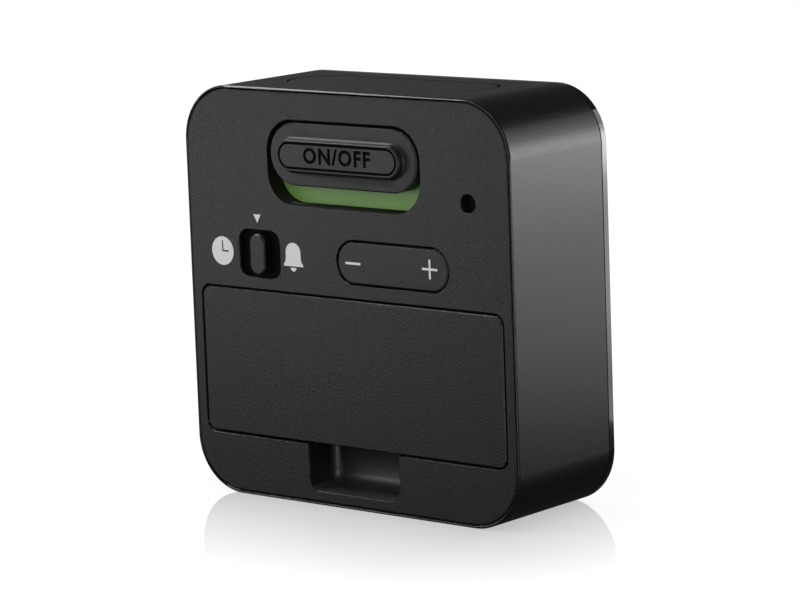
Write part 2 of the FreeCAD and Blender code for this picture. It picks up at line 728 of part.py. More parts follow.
def make_main_board():
    """Main circuit board with its chip, crystal and capacitor."""
    board = Piece("main_board")
    board_middle = "board_bottom + board_height / 2"
    board.add("plate", "rear", (draw_box, "board_width", "board_height"),
              ("0", board_middle), BOARD_FRONT, BOARD_BACK)
    hole = board.cut("screw_hole", "rear", (draw_disc, "board_screw_diameter + 2 * screw_hole_gap"),
                     ("board_boss_x", BOARD_BOSS_Z), BOARD_FRONT, BOARD_BACK)
    board.mirror("screw_holes", [hole])
    hole = board.cut("pin_hole", "rear", (draw_box, "stake_size + 2 * stake_clearance",
                                          "stake_size + 2 * stake_clearance"),
                     ("board_boss_x", BOARD_POST_Z), BOARD_FRONT, BOARD_BACK)
    board.mirror("pin_holes", [hole])
    chip = Piece("control_chip")
    chip.add("case", "rear", (draw_box, "chip_size", "chip_size"), ("0", "chip_z"),
             BOARD_BACK, f"{BOARD_BACK} + chip_height")
    crystal = Piece("crystal")
    crystal.add("can", "top", (draw_disc, "crystal_diameter"),
                ("crystal_x", f"{BOARD_BACK} + crystal_diameter / 2"),
                "chip_z - crystal_length / 2", "chip_z + crystal_length / 2")
    capacitor = Piece("capacitor")
    capacitor.add("can", "rear", (draw_disc, "capacitor_diameter"), ("capacitor_x", "chip_z"),
                  BOARD_BACK, f"{BOARD_BACK} + capacitor_height")
    return [board, chip, crystal, capacitor]


def make_rear_cover():
    """Rear cover: tapered plate with the door bed, battery box, finger recess and all control openings."""
    piece = Piece("rear_cover")
    middle = ("0", MIDDLE)
    door = ("0", "door_z")
    edge = "2 * (rim_width + seam_gap)"
    piece.add("plate", "rear", (draw_rounded, f"case_width - {edge}", f"case_height - {edge}",
                                "case_radius - rim_width - seam_gap"),
              middle, COVER_BACK, REAR, "-seam_angle")
    piece.soften("outer_edge", "edge_round", at_level("Y", REAR), "Chamfer")
    piece.add("door_bed", "rear", (draw_box, "case_width - 2 * case_wall - 2 * cover_clearance",
                                   "door_height + 2 * door_gap + 2 * deck_margin"),
              door, DECK_BACK, COVER_BACK)
    piece.add("battery_box", "rear",
              (draw_box, "cavity_width + 2 * box_wall", "cavity_height + 2 * box_wall"),
              door, f"{CAVITY_FLOOR} - box_wall", DECK_BACK)
    recess_height = f"({FINGER_TOP} - finger_bottom)"
    recess_middle = f"({FINGER_TOP} + finger_bottom) / 2"
    piece.add("finger_box", "rear",
              (draw_tub, "finger_width + 2 * box_wall", f"{recess_height} + 2 * finger_wall",
               "finger_radius + finger_wall"),
              ("0", recess_middle), f"{REAR} - finger_depth - box_wall", COVER_BACK)
    piece.add("alarm_box", "rear",
              (draw_box, "alarm_width + 2 * alarm_wall", "alarm_height + 2 * alarm_wall"),
              ("0", "alarm_z"), ALARM_BACK, COVER_BACK)
    pillar = piece.add("case_pillar", "rear", (draw_disc, "case_pillar_diameter"), ("case_screw_x", "door_z"),
                       PILLAR_BACK, DECK_BACK)
    piece.mirror("case_pillars", [pillar])
    for name in ("right", "middle", "left"):
        place = (f"key_post_{name}_x", f"key_post_{name}_z")
        behind = f"{KEY_FACE} - board_thickness"
        piece.add(f"key_post_{name}", "rear", (draw_box, "key_post_size", "key_post_size"), place,
                  KEY_FACE, COVER_BACK)
        piece.add(f"key_stake_{name}", "rear", (draw_box, "stake_size", "stake_size"), place,
                  behind, KEY_FACE)
        piece.add(f"key_stake_head_{name}", "rear", (draw_box, "stake_head", "stake_head"), place,
                  f"{behind} - stake_head_height", behind)
    cradle_bore = "speaker_diameter + 2 * speaker_gap"
    piece.add("speaker_cradle", "rear", (draw_ring, f"{cradle_bore} + 2 * cradle_wall", cradle_bore),
              ("speaker_x", "speaker_z"), f"{COVER_BACK} - gasket_thickness - speaker_height", COVER_BACK)
    ear_height = "ear_width / 2 + pivot_depth - cover_thickness"
    ear_z = "rocker_z + rocker_opening_height / 2 + pivot_length / 2 + ear_gap"
    for name, height in (("upper", ear_z), ("lower", f"2 * rocker_z - ({ear_z})")):
        piece.add(f"ear_{name}", "rear", (draw_box, "ear_width", "pivot_length"), ("rocker_x", height),
                  f"{COVER_BACK} - ({ear_height})", COVER_BACK)
    piece.cut("pivot_bore", "top", (draw_disc, "pivot_diameter + 2 * pivot_clearance"),
              ("rocker_x", PIVOT_LEVEL), "rocker_z - rocker_opening_height",
              "rocker_z + rocker_opening_height")
    piece.cut("door_bay", "rear", (draw_rounded, "door_width + 2 * door_gap", "door_height + 2 * door_gap",
                                   "door_radius + door_gap"), door, DOOR_BACK, REAR)
    piece.cut("battery_cavity", "rear", (draw_box, "cavity_width", "cavity_height"), door,
              CAVITY_FLOOR, DOOR_BACK)
    hook_height = f"{DOOR_TOP} + hook_toe + hook_clearance - {CAVITY_TOP} + box_wall"
    hook_bay = piece.cut("hook_bay", "rear", (draw_box, "hook_width + 2 * hook_clearance", hook_height),
                         ("hook_x", f"{CAVITY_TOP} - box_wall + ({hook_height}) / 2"),
                         f"{DOOR_BACK} - hook_reach - hook_clearance", COVER_BACK)
    throat_height = f"({DOOR_TOP} + door_gap - {CAVITY_TOP} + box_wall)"
    throat = piece.cut("hook_throat", "rear", (draw_box, "hook_width + 2 * hook_clearance", throat_height),
                       ("hook_x", f"{CAVITY_TOP} - box_wall + {throat_height} / 2"), COVER_BACK, DOOR_BACK)
    piece.mirror("hook_bays", [hook_bay, throat])
    piece.cut("finger_recess", "rear", (draw_tub, "finger_width", recess_height, "finger_radius"),
              ("0", recess_middle), f"{REAR} - finger_depth", REAR)
    piece.cut("alarm_recess", "rear", (draw_rounded, "alarm_width", "alarm_height", "alarm_radius"),
              ("0", "alarm_z"), ALARM_FLOOR, REAR)
    piece.cut("alarm_slot", "rear", (draw_box, FLOOR_SLOT_WIDTH, FLOOR_SLOT_HEIGHT), ("0", SWITCH_Z),
              ALARM_BACK, ALARM_FLOOR)
    piece.cut("apron_bay", "rear", (draw_box, f"{APRON_WIDTH} + 2 * set_travel + 2 * apron_side_gap",
                                    f"{APRON_HEIGHT} + 2 * apron_side_gap"), ("set_x", "set_z"),
              COVER_BACK, f"{APRON_TOP} + apron_gap")
    piece.cut("set_opening", "rear", (draw_rounded, "set_opening_width", "set_opening_height",
                                      "set_opening_radius"), ("set_x", "set_z"),
              f"{APRON_TOP} + apron_gap", REAR)
    piece.cut("rocker_opening", "rear", (draw_slot, "rocker_opening_width", "rocker_opening_height"),
              ("rocker_x", "rocker_z"), COVER_BACK, REAR)
    piece.cut("sound_hole", "rear", (draw_disc, "sound_diameter"), ("sound_x", "speaker_z"), COVER_BACK, REAR)
    counterbore = piece.cut("counterbore", "rear", (draw_disc, "case_screw_head + 2 * counterbore_gap"),
                            ("case_screw_x", "door_z"), HEAD_SEAT, DOOR_BACK)
    piece.mirror("counterbores", [counterbore])
    hole = piece.cut("screw_hole", "rear", (draw_disc, "case_screw_diameter + 2 * screw_hole_gap"),
                     ("case_screw_x", "door_z"), PILLAR_BACK, HEAD_SEAT)
    piece.mirror("screw_holes", [hole])
    piece.soften("finger_floor", "finger_fillet",
                 both(at_level("Y", f"{REAR} - finger_depth"),
                      within(("0", recess_middle), "finger_width", recess_height),
                      lambda edge: edge.BoundBox.ZMin < amount(FINGER_TOP) - NEAR))
    rim = [within(("0", "alarm_z"), "alarm_width", "alarm_height"),
           within(("set_x", "set_z"), "set_opening_width", "set_opening_height"),
           within(("rocker_x", "rocker_z"), "rocker_opening_width", "rocker_opening_height"),
           within(("sound_x", "speaker_z"), "sound_diameter", "sound_diameter")]
    piece.soften("opening_bevels", "skin_bevel",
                 both(at_level("Y", REAR), lambda edge: any(test(edge) for test in rim)), "Chamfer")
    return piece


def make_battery_door():
    """Battery door with two hooks at its top edge and a latch lip at its lower edge."""
    piece = Piece("battery_door")
    piece.add("plate", "rear", (draw_rounded, "door_width", "door_height", "door_radius"),
              ("0", "door_z"), DOOR_BACK, REAR)
    piece.soften("outer_edge", "door_round", at_level("Y", REAR), "Chamfer")
    toe = f"{DOOR_BACK} - hook_reach"
    foot = f"{DOOR_TOP} - hook_stem"
    hook = piece.add("hook", "side",
                     (draw_points, (DOOR_BACK, f"{foot} - hook_stem"), (DOOR_BACK, foot),
                      (f"{toe} + hook_thickness", foot),
                      (f"{toe} + hook_thickness", f"{DOOR_TOP} + hook_toe"),
                      (toe, f"{DOOR_TOP} + hook_toe"), (toe, f"{foot} - hook_stem")),
                     ("0", "0"), "hook_x - hook_width / 2", "hook_x + hook_width / 2")
    piece.mirror("hooks", [hook])
    piece.add("latch", "rear", (draw_box, "latch_width", "latch_thickness"),
              ("0", f"{CAVITY_BOTTOM} + latch_clearance + latch_thickness / 2"), toe, DOOR_BACK)
    return piece


def make_cell(name, height, facing):
    """One small round cell: can, shoulder and positive end, turned about its long axis."""
    piece = Piece(name)
    radius = "cell_diameter / 2"
    tail = f"{facing}(cavity_width / 2 - contact_thickness - contact_bump - cell_length)"
    nose = f"{facing}(cavity_width / 2 - contact_thickness - contact_bump)"
    shoulder = f"{facing}(cavity_width / 2 - contact_thickness - contact_bump - nub_height)"
    round_head = f"({shoulder}) {'+' if facing else '-'} cell_round"
    piece.spin("can", "rear",
               (draw_points, (tail, "0"), (tail, radius), (round_head, radius),
                (shoulder, f"{radius} - cell_round"), (shoulder, "nub_diameter / 2"),
                (nose, "nub_diameter / 2"), (nose, "0")), ("0", height), CELL_AXIS, "H_Axis")
    return piece


def make_contacts():
    """End plates of the battery box, with a raised dome for each positive end."""
    pieces = []
    upper, lower = "door_z + cell_pitch / 2", "door_z - cell_pitch / 2"
    wall = "cavity_width / 2"
    plate_y = CELL_AXIS
    bridge = Piece("bridge_contact")
    bridge.add("plate", "side", (draw_box, "contact_rise", "cell_pitch + contact_height"),
               (plate_y, "door_z"), f"-({wall})", f"contact_thickness - {wall}")
    bridge.add("dome", "side", (draw_disc, "contact_bump_diameter"), (plate_y, lower),
               f"contact_thickness - {wall}", f"contact_thickness + contact_bump - {wall}")
    pieces.append(bridge)
    terminals = Piece("cell_terminals")
    for name, height in (("upper", upper), ("lower", lower)):
        terminals.add(f"plate_{name}", "side", (draw_box, "contact_rise", "contact_height"),
                      (plate_y, height), f"{wall} - contact_thickness", wall)
    terminals.add("dome", "side", (draw_disc, "contact_bump_diameter"), (plate_y, upper),
                  f"{wall} - contact_thickness - contact_bump", f"{wall} - contact_thickness")
    pieces.append(terminals)
    return pieces


def spring_shape(diameter, wire, length, turns, sides=4):
    """A coil spring of one unbroken wire along +Z, its turns laid as pairs of arcs.

    The wire's middle line keeps half a wire inside both ends, so that the spring fills its length.
    """
    radius = (diameter - wire) / 2
    climb = (length - wire) / turns
    quarters = int(round(turns * 4))

    def place(step):
        angle = step * math.pi / 2
        return FreeCAD.Vector(radius * math.cos(angle), radius * math.sin(angle), wire / 2 + climb * step / 4)

    def heading(step):
        angle = step * math.pi / 2
        return FreeCAD.Vector(-radius * math.sin(angle), radius * math.cos(angle),
                              climb / (2 * math.pi)).normalize()

    def arc_from(start, direction, end):
        chord = end - start
        along = FreeCAD.Vector(chord).normalize()
        side = direction - along * direction.dot(along)
        turn = math.atan2(side.Length, direction.dot(along))
        rise = chord.Length / 2 * math.tan(turn / 2)
        middle = (start + end) * 0.5 + side.normalize() * rise
        return Part.Arc(start, middle, end).toShape()

    edges = []
    for step in range(quarters):
        start, end = place(step), place(step + 1)
        leave, arrive = heading(step), heading(step + 1)
        span = end - start
        both_ways = leave + arrive
        spread = 2 * (1 - leave.dot(arrive))
        lean = span.dot(both_ways)
        reach = (-lean + math.sqrt(lean ** 2 + spread * span.dot(span))) / spread
        joint = (start + leave * reach + end - arrive * reach) * 0.5
        edges.append(arc_from(start, leave, joint))
        edges.append(arc_from(joint, (joint - start - leave * reach).normalize(), end))
    path = Part.Wire(edges)
    first = heading(0)
    outward = FreeCAD.Vector(1, 0, 0)
    upward = first.cross(outward)
    corners = [place(0) + (outward * math.cos(2 * math.pi * side / sides)
                           + upward * math.sin(2 * math.pi * side / sides)) * (wire / 2)
               for side in range(sides)]
    section = Part.makePolygon(corners + corners[:1])
    return Part.Wire(path).makePipeShell([section], True, False)


def add_springs(label, places, turned_along, diameter, wire, length, turns):
    """Place copies of one coil spring as separate solids of one node."""
    copies = []
    for place, direction in places:
        coil = spring_shape(diameter, wire, length, turns)
        turn = FreeCAD.Rotation(FreeCAD.Vector(0, 0, 1), direction)
        coil.Placement = FreeCAD.Placement(place, turn)
        copies.append(coil)
    node = doc.addObject("Part::Feature", label)
    node.Label = label
    node.Shape = Part.makeCompound(copies)
    print(label, "gap between turns", round((length - wire) / turns - wire, 3), "along", turned_along)
    return node


def make_springs():
    """Coil springs under the top button and at the flat end of each cell."""
    base = amount(SHELF_TOP)
    side = amount("return_spring_x")
    upright = FreeCAD.Vector(0, 0, 1)
    feet = [(FreeCAD.Vector(x, amount("button_y"), base), upright) for x in (side, -side)]
    returns = add_springs("return_springs", feet, "Z",
                          amount("return_spring_diameter"), amount("return_spring_wire"),
                          amount("return_spring_length"), amount("return_spring_turns"))
    wall = amount("cavity_width / 2 - contact_thickness")
    room = amount("cavity_width - 2 * contact_thickness - contact_bump - cell_length")
    depth = amount(CELL_AXIS)
    contacts = add_springs("cell_springs",
                           [(FreeCAD.Vector(-wall, depth, amount("door_z + cell_pitch / 2")),
                             FreeCAD.Vector(1, 0, 0)),
                            (FreeCAD.Vector(wall, depth, amount("door_z - cell_pitch / 2")),
                             FreeCAD.Vector(-1, 0, 0))], "X",
                           amount("spring_diameter"), amount("spring_wire"), room, amount("spring_turns"))
    return [returns, contacts]


def make_alarm_slider():
    """Alarm slider: flush knob with a raised grip, fork and snap legs, and the coloured plate under it."""
    knob = Piece("alarm_slider")
    centre = ("0", "knob_z")
    knob.add("base", "rear", (draw_slot, "knob_width", "knob_height"), centre, KNOB_BACK, REAR)
    knob.soften("base_edge", "knob_bevel", at_level("Y", REAR), "Chamfer")
    knob.add("grip", "rear", (draw_slot, "grip_width", "grip_height"), centre, REAR, f"{REAR} + grip_proud")
    knob.soften("grip_foot", "grip_foot",
                both(at_level("Y", REAR), within(centre, "grip_width", "grip_height")), "Chamfer")
    knob.soften("grip_edge", "grip_round", at_level("Y", f"{REAR} + grip_proud"), "Chamfer")
    reach = f"{SWITCH_TOP} + fork_gap * 10"
    offset = "lever_size / 2 + fork_gap + fork_thickness / 2"
    for name, height in (("upper", f"knob_z + {offset}"), ("lower", f"knob_z - ({offset})")):
        knob.add(f"fork_{name}", "rear", (draw_box, "fork_width", "fork_thickness"), ("0", height),
                 reach, KNOB_BACK)
    hook_top = f"{ALARM_BACK} - knob_clearance"
    leg = knob.add("snap_leg", "rear", (draw_box, "snap_width", "snap_height"), ("snap_x", "knob_z"),
                   f"{hook_top} - snap_hook_height", KNOB_BACK)
    hook = knob.add("snap_hook", "rear", (draw_box, "snap_hook", "snap_height"),
                    ("snap_x + snap_width / 2 + snap_hook / 2", "knob_z"),
                    f"{hook_top} - snap_hook_height", hook_top)
    knob.mirror("snap_legs", [leg, hook])
    flag = Piece("alarm_flag")
    flag.add("plate", "rear", (draw_rounded, "alarm_width - 2 * flag_gap", "alarm_height - 2 * flag_gap",
                               "alarm_radius - flag_gap"), ("0", "alarm_z"), ALARM_FLOOR,
             f"{ALARM_FLOOR} + flag_thickness")
    flag.cut("slot", "rear", (draw_box, FLOOR_SLOT_WIDTH, FLOOR_SLOT_HEIGHT), ("0", SWITCH_Z),
             ALARM_FLOOR, f"{ALARM_FLOOR} + flag_thickness")
    return [knob, flag]


def make_slide_switch(name, centre, travel, upright):
    """A slide switch body with a slot along its travel, and its lever as a piece of its own."""
    body = Piece(name)
    length, width = "slide_switch_length", "slide_switch_width"
    slot_long = f"lever_size + {travel} + 2 * lever_gap"
    slot_wide = "lever_size + 2 * lever_gap"
    outer = (draw_box, width, length) if upright else (draw_box, length, width)
    slot = (draw_box, slot_wide, slot_long) if upright else (draw_box, slot_long, slot_wide)
    body.add("case", "rear", outer, centre, KEY_FACE, SWITCH_TOP)
    body.cut("slot", "rear", slot, centre, f"{SWITCH_TOP} + lever_stand - lever_height - lever_gap",
             SWITCH_TOP)
    rest = ("0", "knob_z") if upright else centre
    lever = Piece(f"{name}_lever")
    lever.add("lever", "rear", (draw_box, "lever_size", "lever_size"), rest,
              f"{SWITCH_TOP} + lever_stand - lever_height", f"{SWITCH_TOP} + lever_stand")
    return [body, lever]


def make_set_knob():
    """Set switch knob: a pill on a thin apron that hides the inside, with a fork for the lever."""
    knob = Piece("set_knob")
    centre = ("set_x", "set_z")
    knob.add("apron", "rear", (draw_box, APRON_WIDTH, APRON_HEIGHT), centre, COVER_BACK, APRON_TOP)
    knob.add("pill", "rear", (draw_slot, "set_knob_width", "set_knob_height"), centre,
             APRON_TOP, f"{REAR} + set_knob_proud")
    knob.soften("pill_edge", "set_knob_round", at_level("Y", f"{REAR} + set_knob_proud"), "Chamfer")
    offset = "lever_size / 2 + fork_gap + fork_thickness / 2"
    for name, across in (("left", f"set_x + {offset}"), ("right", f"set_x - ({offset})")):
        knob.add(f"fork_{name}", "rear", (draw_box, "fork_thickness", "fork_width"), (across, "set_z"),
                 f"{SWITCH_TOP} + fork_gap * 10", COVER_BACK)
    return knob


def make_rocker():
    """Rocker button on an upright pivot, and the two push switches under its ends."""
    rocker = Piece("rocker_button")
    centre = ("rocker_x", "rocker_z")
    width = "rocker_opening_width - 2 * rocker_gap"
    height = "rocker_opening_height - 2 * rocker_gap"
    rocker.add("cap", "rear", (draw_slot, width, height), centre, f"{REAR} - rocker_thickness", REAR)
    rocker.soften("cap_edge", "rocker_round", at_level("Y", REAR), "Chamfer")
    lug_z = f"({height}) / 2 - lug_thickness / 2"
    for name, sign in (("upper", "+"), ("lower", "-")):
        rocker.add(f"lug_{name}", "rear", (draw_box, "lug_width", "lug_thickness"),
                   ("rocker_x", f"rocker_z {sign} ({lug_z})"),
                   f"{PIVOT_LEVEL} - pivot_diameter", f"{REAR} - rocker_thickness")
    pin_reach = "rocker_opening_height / 2 + pivot_length"
    rocker.add("pivot", "top", (draw_disc, "pivot_diameter"), ("rocker_x", PIVOT_LEVEL),
               f"rocker_z - ({pin_reach})", f"rocker_z + {pin_reach}")
    for name, sign in (("plus", "-"), ("minus", "+")):
        rocker.add(f"post_{name}", "rear", (draw_box, "post_size", "post_size"),
                   (f"rocker_x {sign} post_spread", "rocker_z"),
                   f"{TACT_TOP} + post_clearance", f"{REAR} - rocker_thickness")
    switches = Piece("push_switches")
    for name, sign in (("plus", "-"), ("minus", "+")):
        place = (f"rocker_x {sign} post_spread", "rocker_z")
        switches.add(f"case_{name}", "rear", (draw_box, "tact_size", "tact_size"), place,
                     KEY_FACE, f"{KEY_FACE} + tact_height")
        switches.add(f"plunger_{name}", "rear", (draw_disc, "tact_plunger_diameter"), place,
                     f"{KEY_FACE} + tact_height", TACT_TOP)
    return [rocker, switches]


def make_key_board():
    """Circuit board that carries the switches behind the rear cover."""
    board = Piece("key_board")
    back = f"{KEY_FACE} - board_thickness"
    low_edge = f"({CAVITY_TOP} + box_wall + key_board_gap)"
    high_edge = f"({FLANGE_BACK} - key_board_gap)"
    board.add("plate", "rear", (draw_box, "key_board_width", f"{high_edge} - {low_edge}"),
              ("key_board_x", f"({high_edge} + {low_edge}) / 2"), back, KEY_FACE)
    for name in ("right", "middle", "left"):
        board.cut(f"hole_{name}", "rear", (draw_box, "stake_size + 2 * stake_clearance",
                                           "stake_size + 2 * stake_clearance"),
                  (f"key_post_{name}_x", f"key_post_{name}_z"), back, KEY_FACE)
    return board


def make_speaker():
    """Small round speaker and the foam ring that seals it against the cover."""
    centre = ("speaker_x", "speaker_z")
    seat = f"{COVER_BACK} - gasket_thickness"
    speaker = Piece("speaker")
    speaker.add("basket", "rear", (draw_disc, "speaker_diameter"), centre, f"{seat} - speaker_step", seat)
    speaker.add("magnet", "rear", (draw_disc, "gasket_bore"), centre, f"{seat} - speaker_height",
                f"{seat} - speaker_step")
    gasket = Piece("speaker_gasket")
    gasket.add("ring", "rear", (draw_ring, "speaker_diameter", "gasket_bore"), centre, seat, COVER_BACK)
    return [speaker, gasket]


def make_top_button():
    """Long button flush with the top of the case, its push switch and plunger."""
    button = Piece("top_button")
    centre = ("0", "button_y")
    button.add("cap", "top", (draw_slot, "button_length", "button_width"), centre, FLANGE_TOP, "case_height")
    button.soften("cap_edge", "button_round", at_level("Z", "case_height"), "Chamfer")
    button.add("flange", "top", (draw_slot, "button_length + 2 * flange_margin + 2 * button_gap",
                                 "button_width + 2 * flange_margin + 2 * button_gap"), centre,
               FLANGE_BACK, FLANGE_TOP)
    button.add("pin", "top", (draw_box, "button_pin_size", "button_pin_size"), ("0", PIN_Y),
               PLUNGER_TOP, FLANGE_BACK)
    peg = button.add("spring_peg", "top", (draw_box, "peg_size", "peg_size"), ("return_spring_x", "button_y"),
                     f"{FLANGE_BACK} - peg_height", FLANGE_BACK)
    button.mirror("spring_pegs", [peg])
    switch = Piece("button_switch")
    switch.add("case", "top", (draw_box, "button_switch_width", "button_switch_depth"), ("0", PIN_Y),
               f"{BUTTON_SWITCH_TOP} - button_switch_height", BUTTON_SWITCH_TOP)
    bore = "plunger_size + 2 * plunger_gap"
    switch.cut("bore", "top", (draw_box, bore, bore), ("0", PIN_Y),
               f"{BUTTON_SWITCH_TOP} - plunger_sunk - button_travel - plunger_gap", BUTTON_SWITCH_TOP)
    plunger = Piece("switch_plunger")
    plunger.add("plunger", "top", (draw_box, "plunger_size", "plunger_size"), ("0", PIN_Y),
                f"{BUTTON_SWITCH_TOP} - plunger_sunk", PLUNGER_TOP)
    return [button, switch, plunger]


def make_screws():
    """Case screws and main board screws, pan heads with a cross slot, each pair as one node."""
    screws = []
    for label, place, seat, size, head in (("case_screws", ("case_screw_x", "door_z"), HEAD_SEAT,
                                            "case_screw_diameter", "case_screw_head"),
                                           ("board_screws", ("board_boss_x", BOARD_BOSS_Z), BOARD_BACK,
                                            "board_screw_diameter", "board_screw_head")):
        piece = Piece(label)
        length = size.replace("diameter", "length")
        head_top = f"{seat} + {head}_height"
        made = [piece.add("shank", "rear", (draw_disc, size), place, f"{seat} - {length}", seat),
                piece.add("head", "rear", (draw_disc, head), place, seat, head_top)]
        for way, shape in (("level", (draw_box, f"{head} / 2", "cross_width")),
                           ("upright", (draw_box, "cross_width", f"{head} / 2"))):
            made.append(piece.cut(f"cross_{way}", "rear", shape, place,
                                  f"{head_top} - cross_depth", head_top))
        piece.mirror("pair", made)
        screws.append(piece)
    return screws


nodes = [make_housing(), make_front_panel(), *make_display(), *make_main_board(), make_rear_cover(),
         make_battery_door(), make_cell("upper_cell", "door_z + cell_pitch / 2", ""),
         make_cell("lower_cell", "door_z - cell_pitch / 2", "-"), *make_contacts(), *make_springs(),
         *make_alarm_slider(), *make_slide_switch("alarm_switch", ("0", SWITCH_Z), "alarm_travel", True),
         make_set_knob(), *make_slide_switch("set_switch", ("set_x", "set_z"), "2 * set_travel", False),
         *make_rocker(), make_key_board(), *make_speaker(), *make_top_button(), *make_screws()]
nodes = [node.body if isinstance(node, Piece) else node for node in nodes]
doc.recompute()

# Every object is sound before anything is written.
for thing in doc.Objects:
    if "Invalid" in thing.State or "Error" in thing.State:
        raise RuntimeError(f"{thing.Name} failed: {thing.State}")
for made in cuts:
    if made.Shape.Volume >= made.BaseFeature.Shape.Volume:
        raise RuntimeError(f"{made.Name} takes nothing away")
for node in nodes:
    if node.Shape.isNull() or not node.Shape.isValid():
        raise RuntimeError(f"{node.Label} has no sound shape")

os.makedirs("parts", exist_ok=True)
for node in nodes:
    node.Shape.exportStep(os.path.join("parts", node.Label + ".step"))
    print(node.Label, len(node.Shape.Solids), "solids", round(node.Shape.Volume, 2), "mm3")
print(len(nodes), "nodes")
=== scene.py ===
import json
import logging
import math
from dataclasses import dataclass, field
from enum import Enum
from typing import Callable, Sequence

import bmesh
import bpy
from mathutils import Matrix, Vector

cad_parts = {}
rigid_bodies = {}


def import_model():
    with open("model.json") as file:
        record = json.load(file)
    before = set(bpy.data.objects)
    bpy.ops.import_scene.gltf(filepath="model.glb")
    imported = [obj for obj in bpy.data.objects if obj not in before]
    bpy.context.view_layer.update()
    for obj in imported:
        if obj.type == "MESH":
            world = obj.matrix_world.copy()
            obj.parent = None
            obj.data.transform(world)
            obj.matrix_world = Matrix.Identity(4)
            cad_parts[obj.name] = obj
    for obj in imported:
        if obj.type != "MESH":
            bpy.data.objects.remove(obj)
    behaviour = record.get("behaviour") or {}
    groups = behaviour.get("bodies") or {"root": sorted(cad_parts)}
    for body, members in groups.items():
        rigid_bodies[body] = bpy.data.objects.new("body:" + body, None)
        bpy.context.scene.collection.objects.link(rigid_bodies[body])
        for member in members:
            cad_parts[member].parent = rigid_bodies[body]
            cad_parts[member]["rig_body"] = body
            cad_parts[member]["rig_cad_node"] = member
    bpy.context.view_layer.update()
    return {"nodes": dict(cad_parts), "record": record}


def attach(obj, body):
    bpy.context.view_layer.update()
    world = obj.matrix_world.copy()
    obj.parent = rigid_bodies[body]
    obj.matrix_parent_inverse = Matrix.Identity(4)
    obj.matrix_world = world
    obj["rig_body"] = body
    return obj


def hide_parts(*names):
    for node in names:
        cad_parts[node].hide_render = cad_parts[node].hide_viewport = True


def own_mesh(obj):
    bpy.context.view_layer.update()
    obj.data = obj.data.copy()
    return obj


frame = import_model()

Colour = tuple[float, float, float]
Point = tuple[float, float]

SLOTS = {part["node"]: part["material_slot"] for part in frame["record"]["subparts"]}
MM = 0.001
NOISE_ROUGHNESS = 0.55
SOFT_ANGLE = 40.0
log = logging.getLogger("talking_clock")


class Side(Enum):
    """The faces that carry flat marks, with the way along Y that each one looks."""

    REAR = 1.0
    FRONT = -1.0


class End(Enum):
    """The end of a cell that carries its nub, with that end's way along X."""

    PLUS_X = 1.0
    MINUS_X = -1.0


class Texture(Enum):
    """How a plastic's surface is broken up: spread of its roughness, strength of its relief."""

    SPARKED = (0.05, 0.5)
    SATIN = (0.05, 0.25)
    POLISHED = (0.01, 0.0)

    def __init__(self, spread: float, bump: float) -> None:
        """Keep both values under their names."""
        self.spread = spread
        self.bump = bump


def shade_tree(name: str) -> tuple[bpy.types.Material, bpy.types.NodeTree, bpy.types.Node]:
    """Start a node material.

    Args:
        name: The material's name.

    Returns:
        The material, its node tree and its main shader.
    """
    material = bpy.data.materials.new(name)
    material.use_nodes = True
    tree = material.node_tree
    return material, tree, tree.nodes["Principled BSDF"]


def feed(tree: bpy.types.NodeTree, source: bpy.types.NodeSocket | Colour | float,
         target: bpy.types.NodeSocket) -> None:
    """Link a socket to an input, or give the input a colour or a number.

    Args:
        tree: The node tree.
        source: The socket, colour or number.
        target: The input.
    """
    if isinstance(source, bpy.types.NodeSocket):
        tree.links.new(source, target)
    elif isinstance(source, tuple):
        target.default_value = (*source, 1)
    else:
        target.default_value = source


def axis_of(tree: bpy.types.NodeTree, axis: str, space: str = "Object") -> bpy.types.NodeSocket:
    """Read one coordinate of the shaded point.

    Args:
        tree: The node tree.
        axis: X, Y or Z.
        space: The texture coordinates to read.

    Returns:
        The coordinate's socket.
    """
    place = tree.nodes.new("ShaderNodeTexCoord")
    split = tree.nodes.new("ShaderNodeSeparateXYZ")
    tree.links.new(place.outputs[space], split.inputs["Vector"])
    return split.outputs[axis]


def maths(tree: bpy.types.NodeTree, operation: str, first: bpy.types.NodeSocket,
          second: bpy.types.NodeSocket | float = 0.0, clamp: bool = False) -> bpy.types.NodeSocket:
    """Put a socket through a math node.

    Args:
        tree: The node tree.
        operation: The node's operation.
        first: The first value's socket.
        second: The second value, where the operation takes one.
        clamp: Whether the result is kept between 0 and 1.

    Returns:
        The result's socket.
    """
    node = tree.nodes.new("ShaderNodeMath")
    node.operation = operation
    node.use_clamp = clamp
    tree.links.new(first, node.inputs[0])
    feed(tree, second, node.inputs[1])
    return node.outputs["Value"]


def blend(tree: bpy.types.NodeTree, share: bpy.types.NodeSocket,
          first: bpy.types.NodeSocket | Colour, second: Colour) -> bpy.types.NodeSocket:
    """Mix two colours.

    Args:
        tree: The material's node tree.
        share: The share of the second colour.
        first: The first colour or its socket.
        second: The second colour.

    Returns:
        The mixed colour's socket.
    """
    node = tree.nodes.new("ShaderNodeMixRGB")
    feed(tree, share, node.inputs["Fac"])
    feed(tree, first, node.inputs["Color1"])
    feed(tree, second, node.inputs["Color2"])
    return node.outputs["Color"]


def show_mix(tree: bpy.types.NodeTree, output: str, share: bpy.types.NodeSocket,
             first: bpy.types.NodeSocket, second: bpy.types.NodeSocket) -> None:
    """Mix two shaders and make the mix the surface.

    Args:
        tree: The node tree.
        output: The name of the tree's output node.
        share: The share of the second shader.
        first: The first shader's socket.
        second: The second shader's socket.
    """
    node = tree.nodes.new("ShaderNodeMixShader")
    tree.links.new(share, node.inputs["Fac"])
    tree.links.new(first, node.inputs[1])
    tree.links.new(second, node.inputs[2])
    tree.links.new(node.outputs["Shader"], tree.nodes[output].inputs["Surface"])


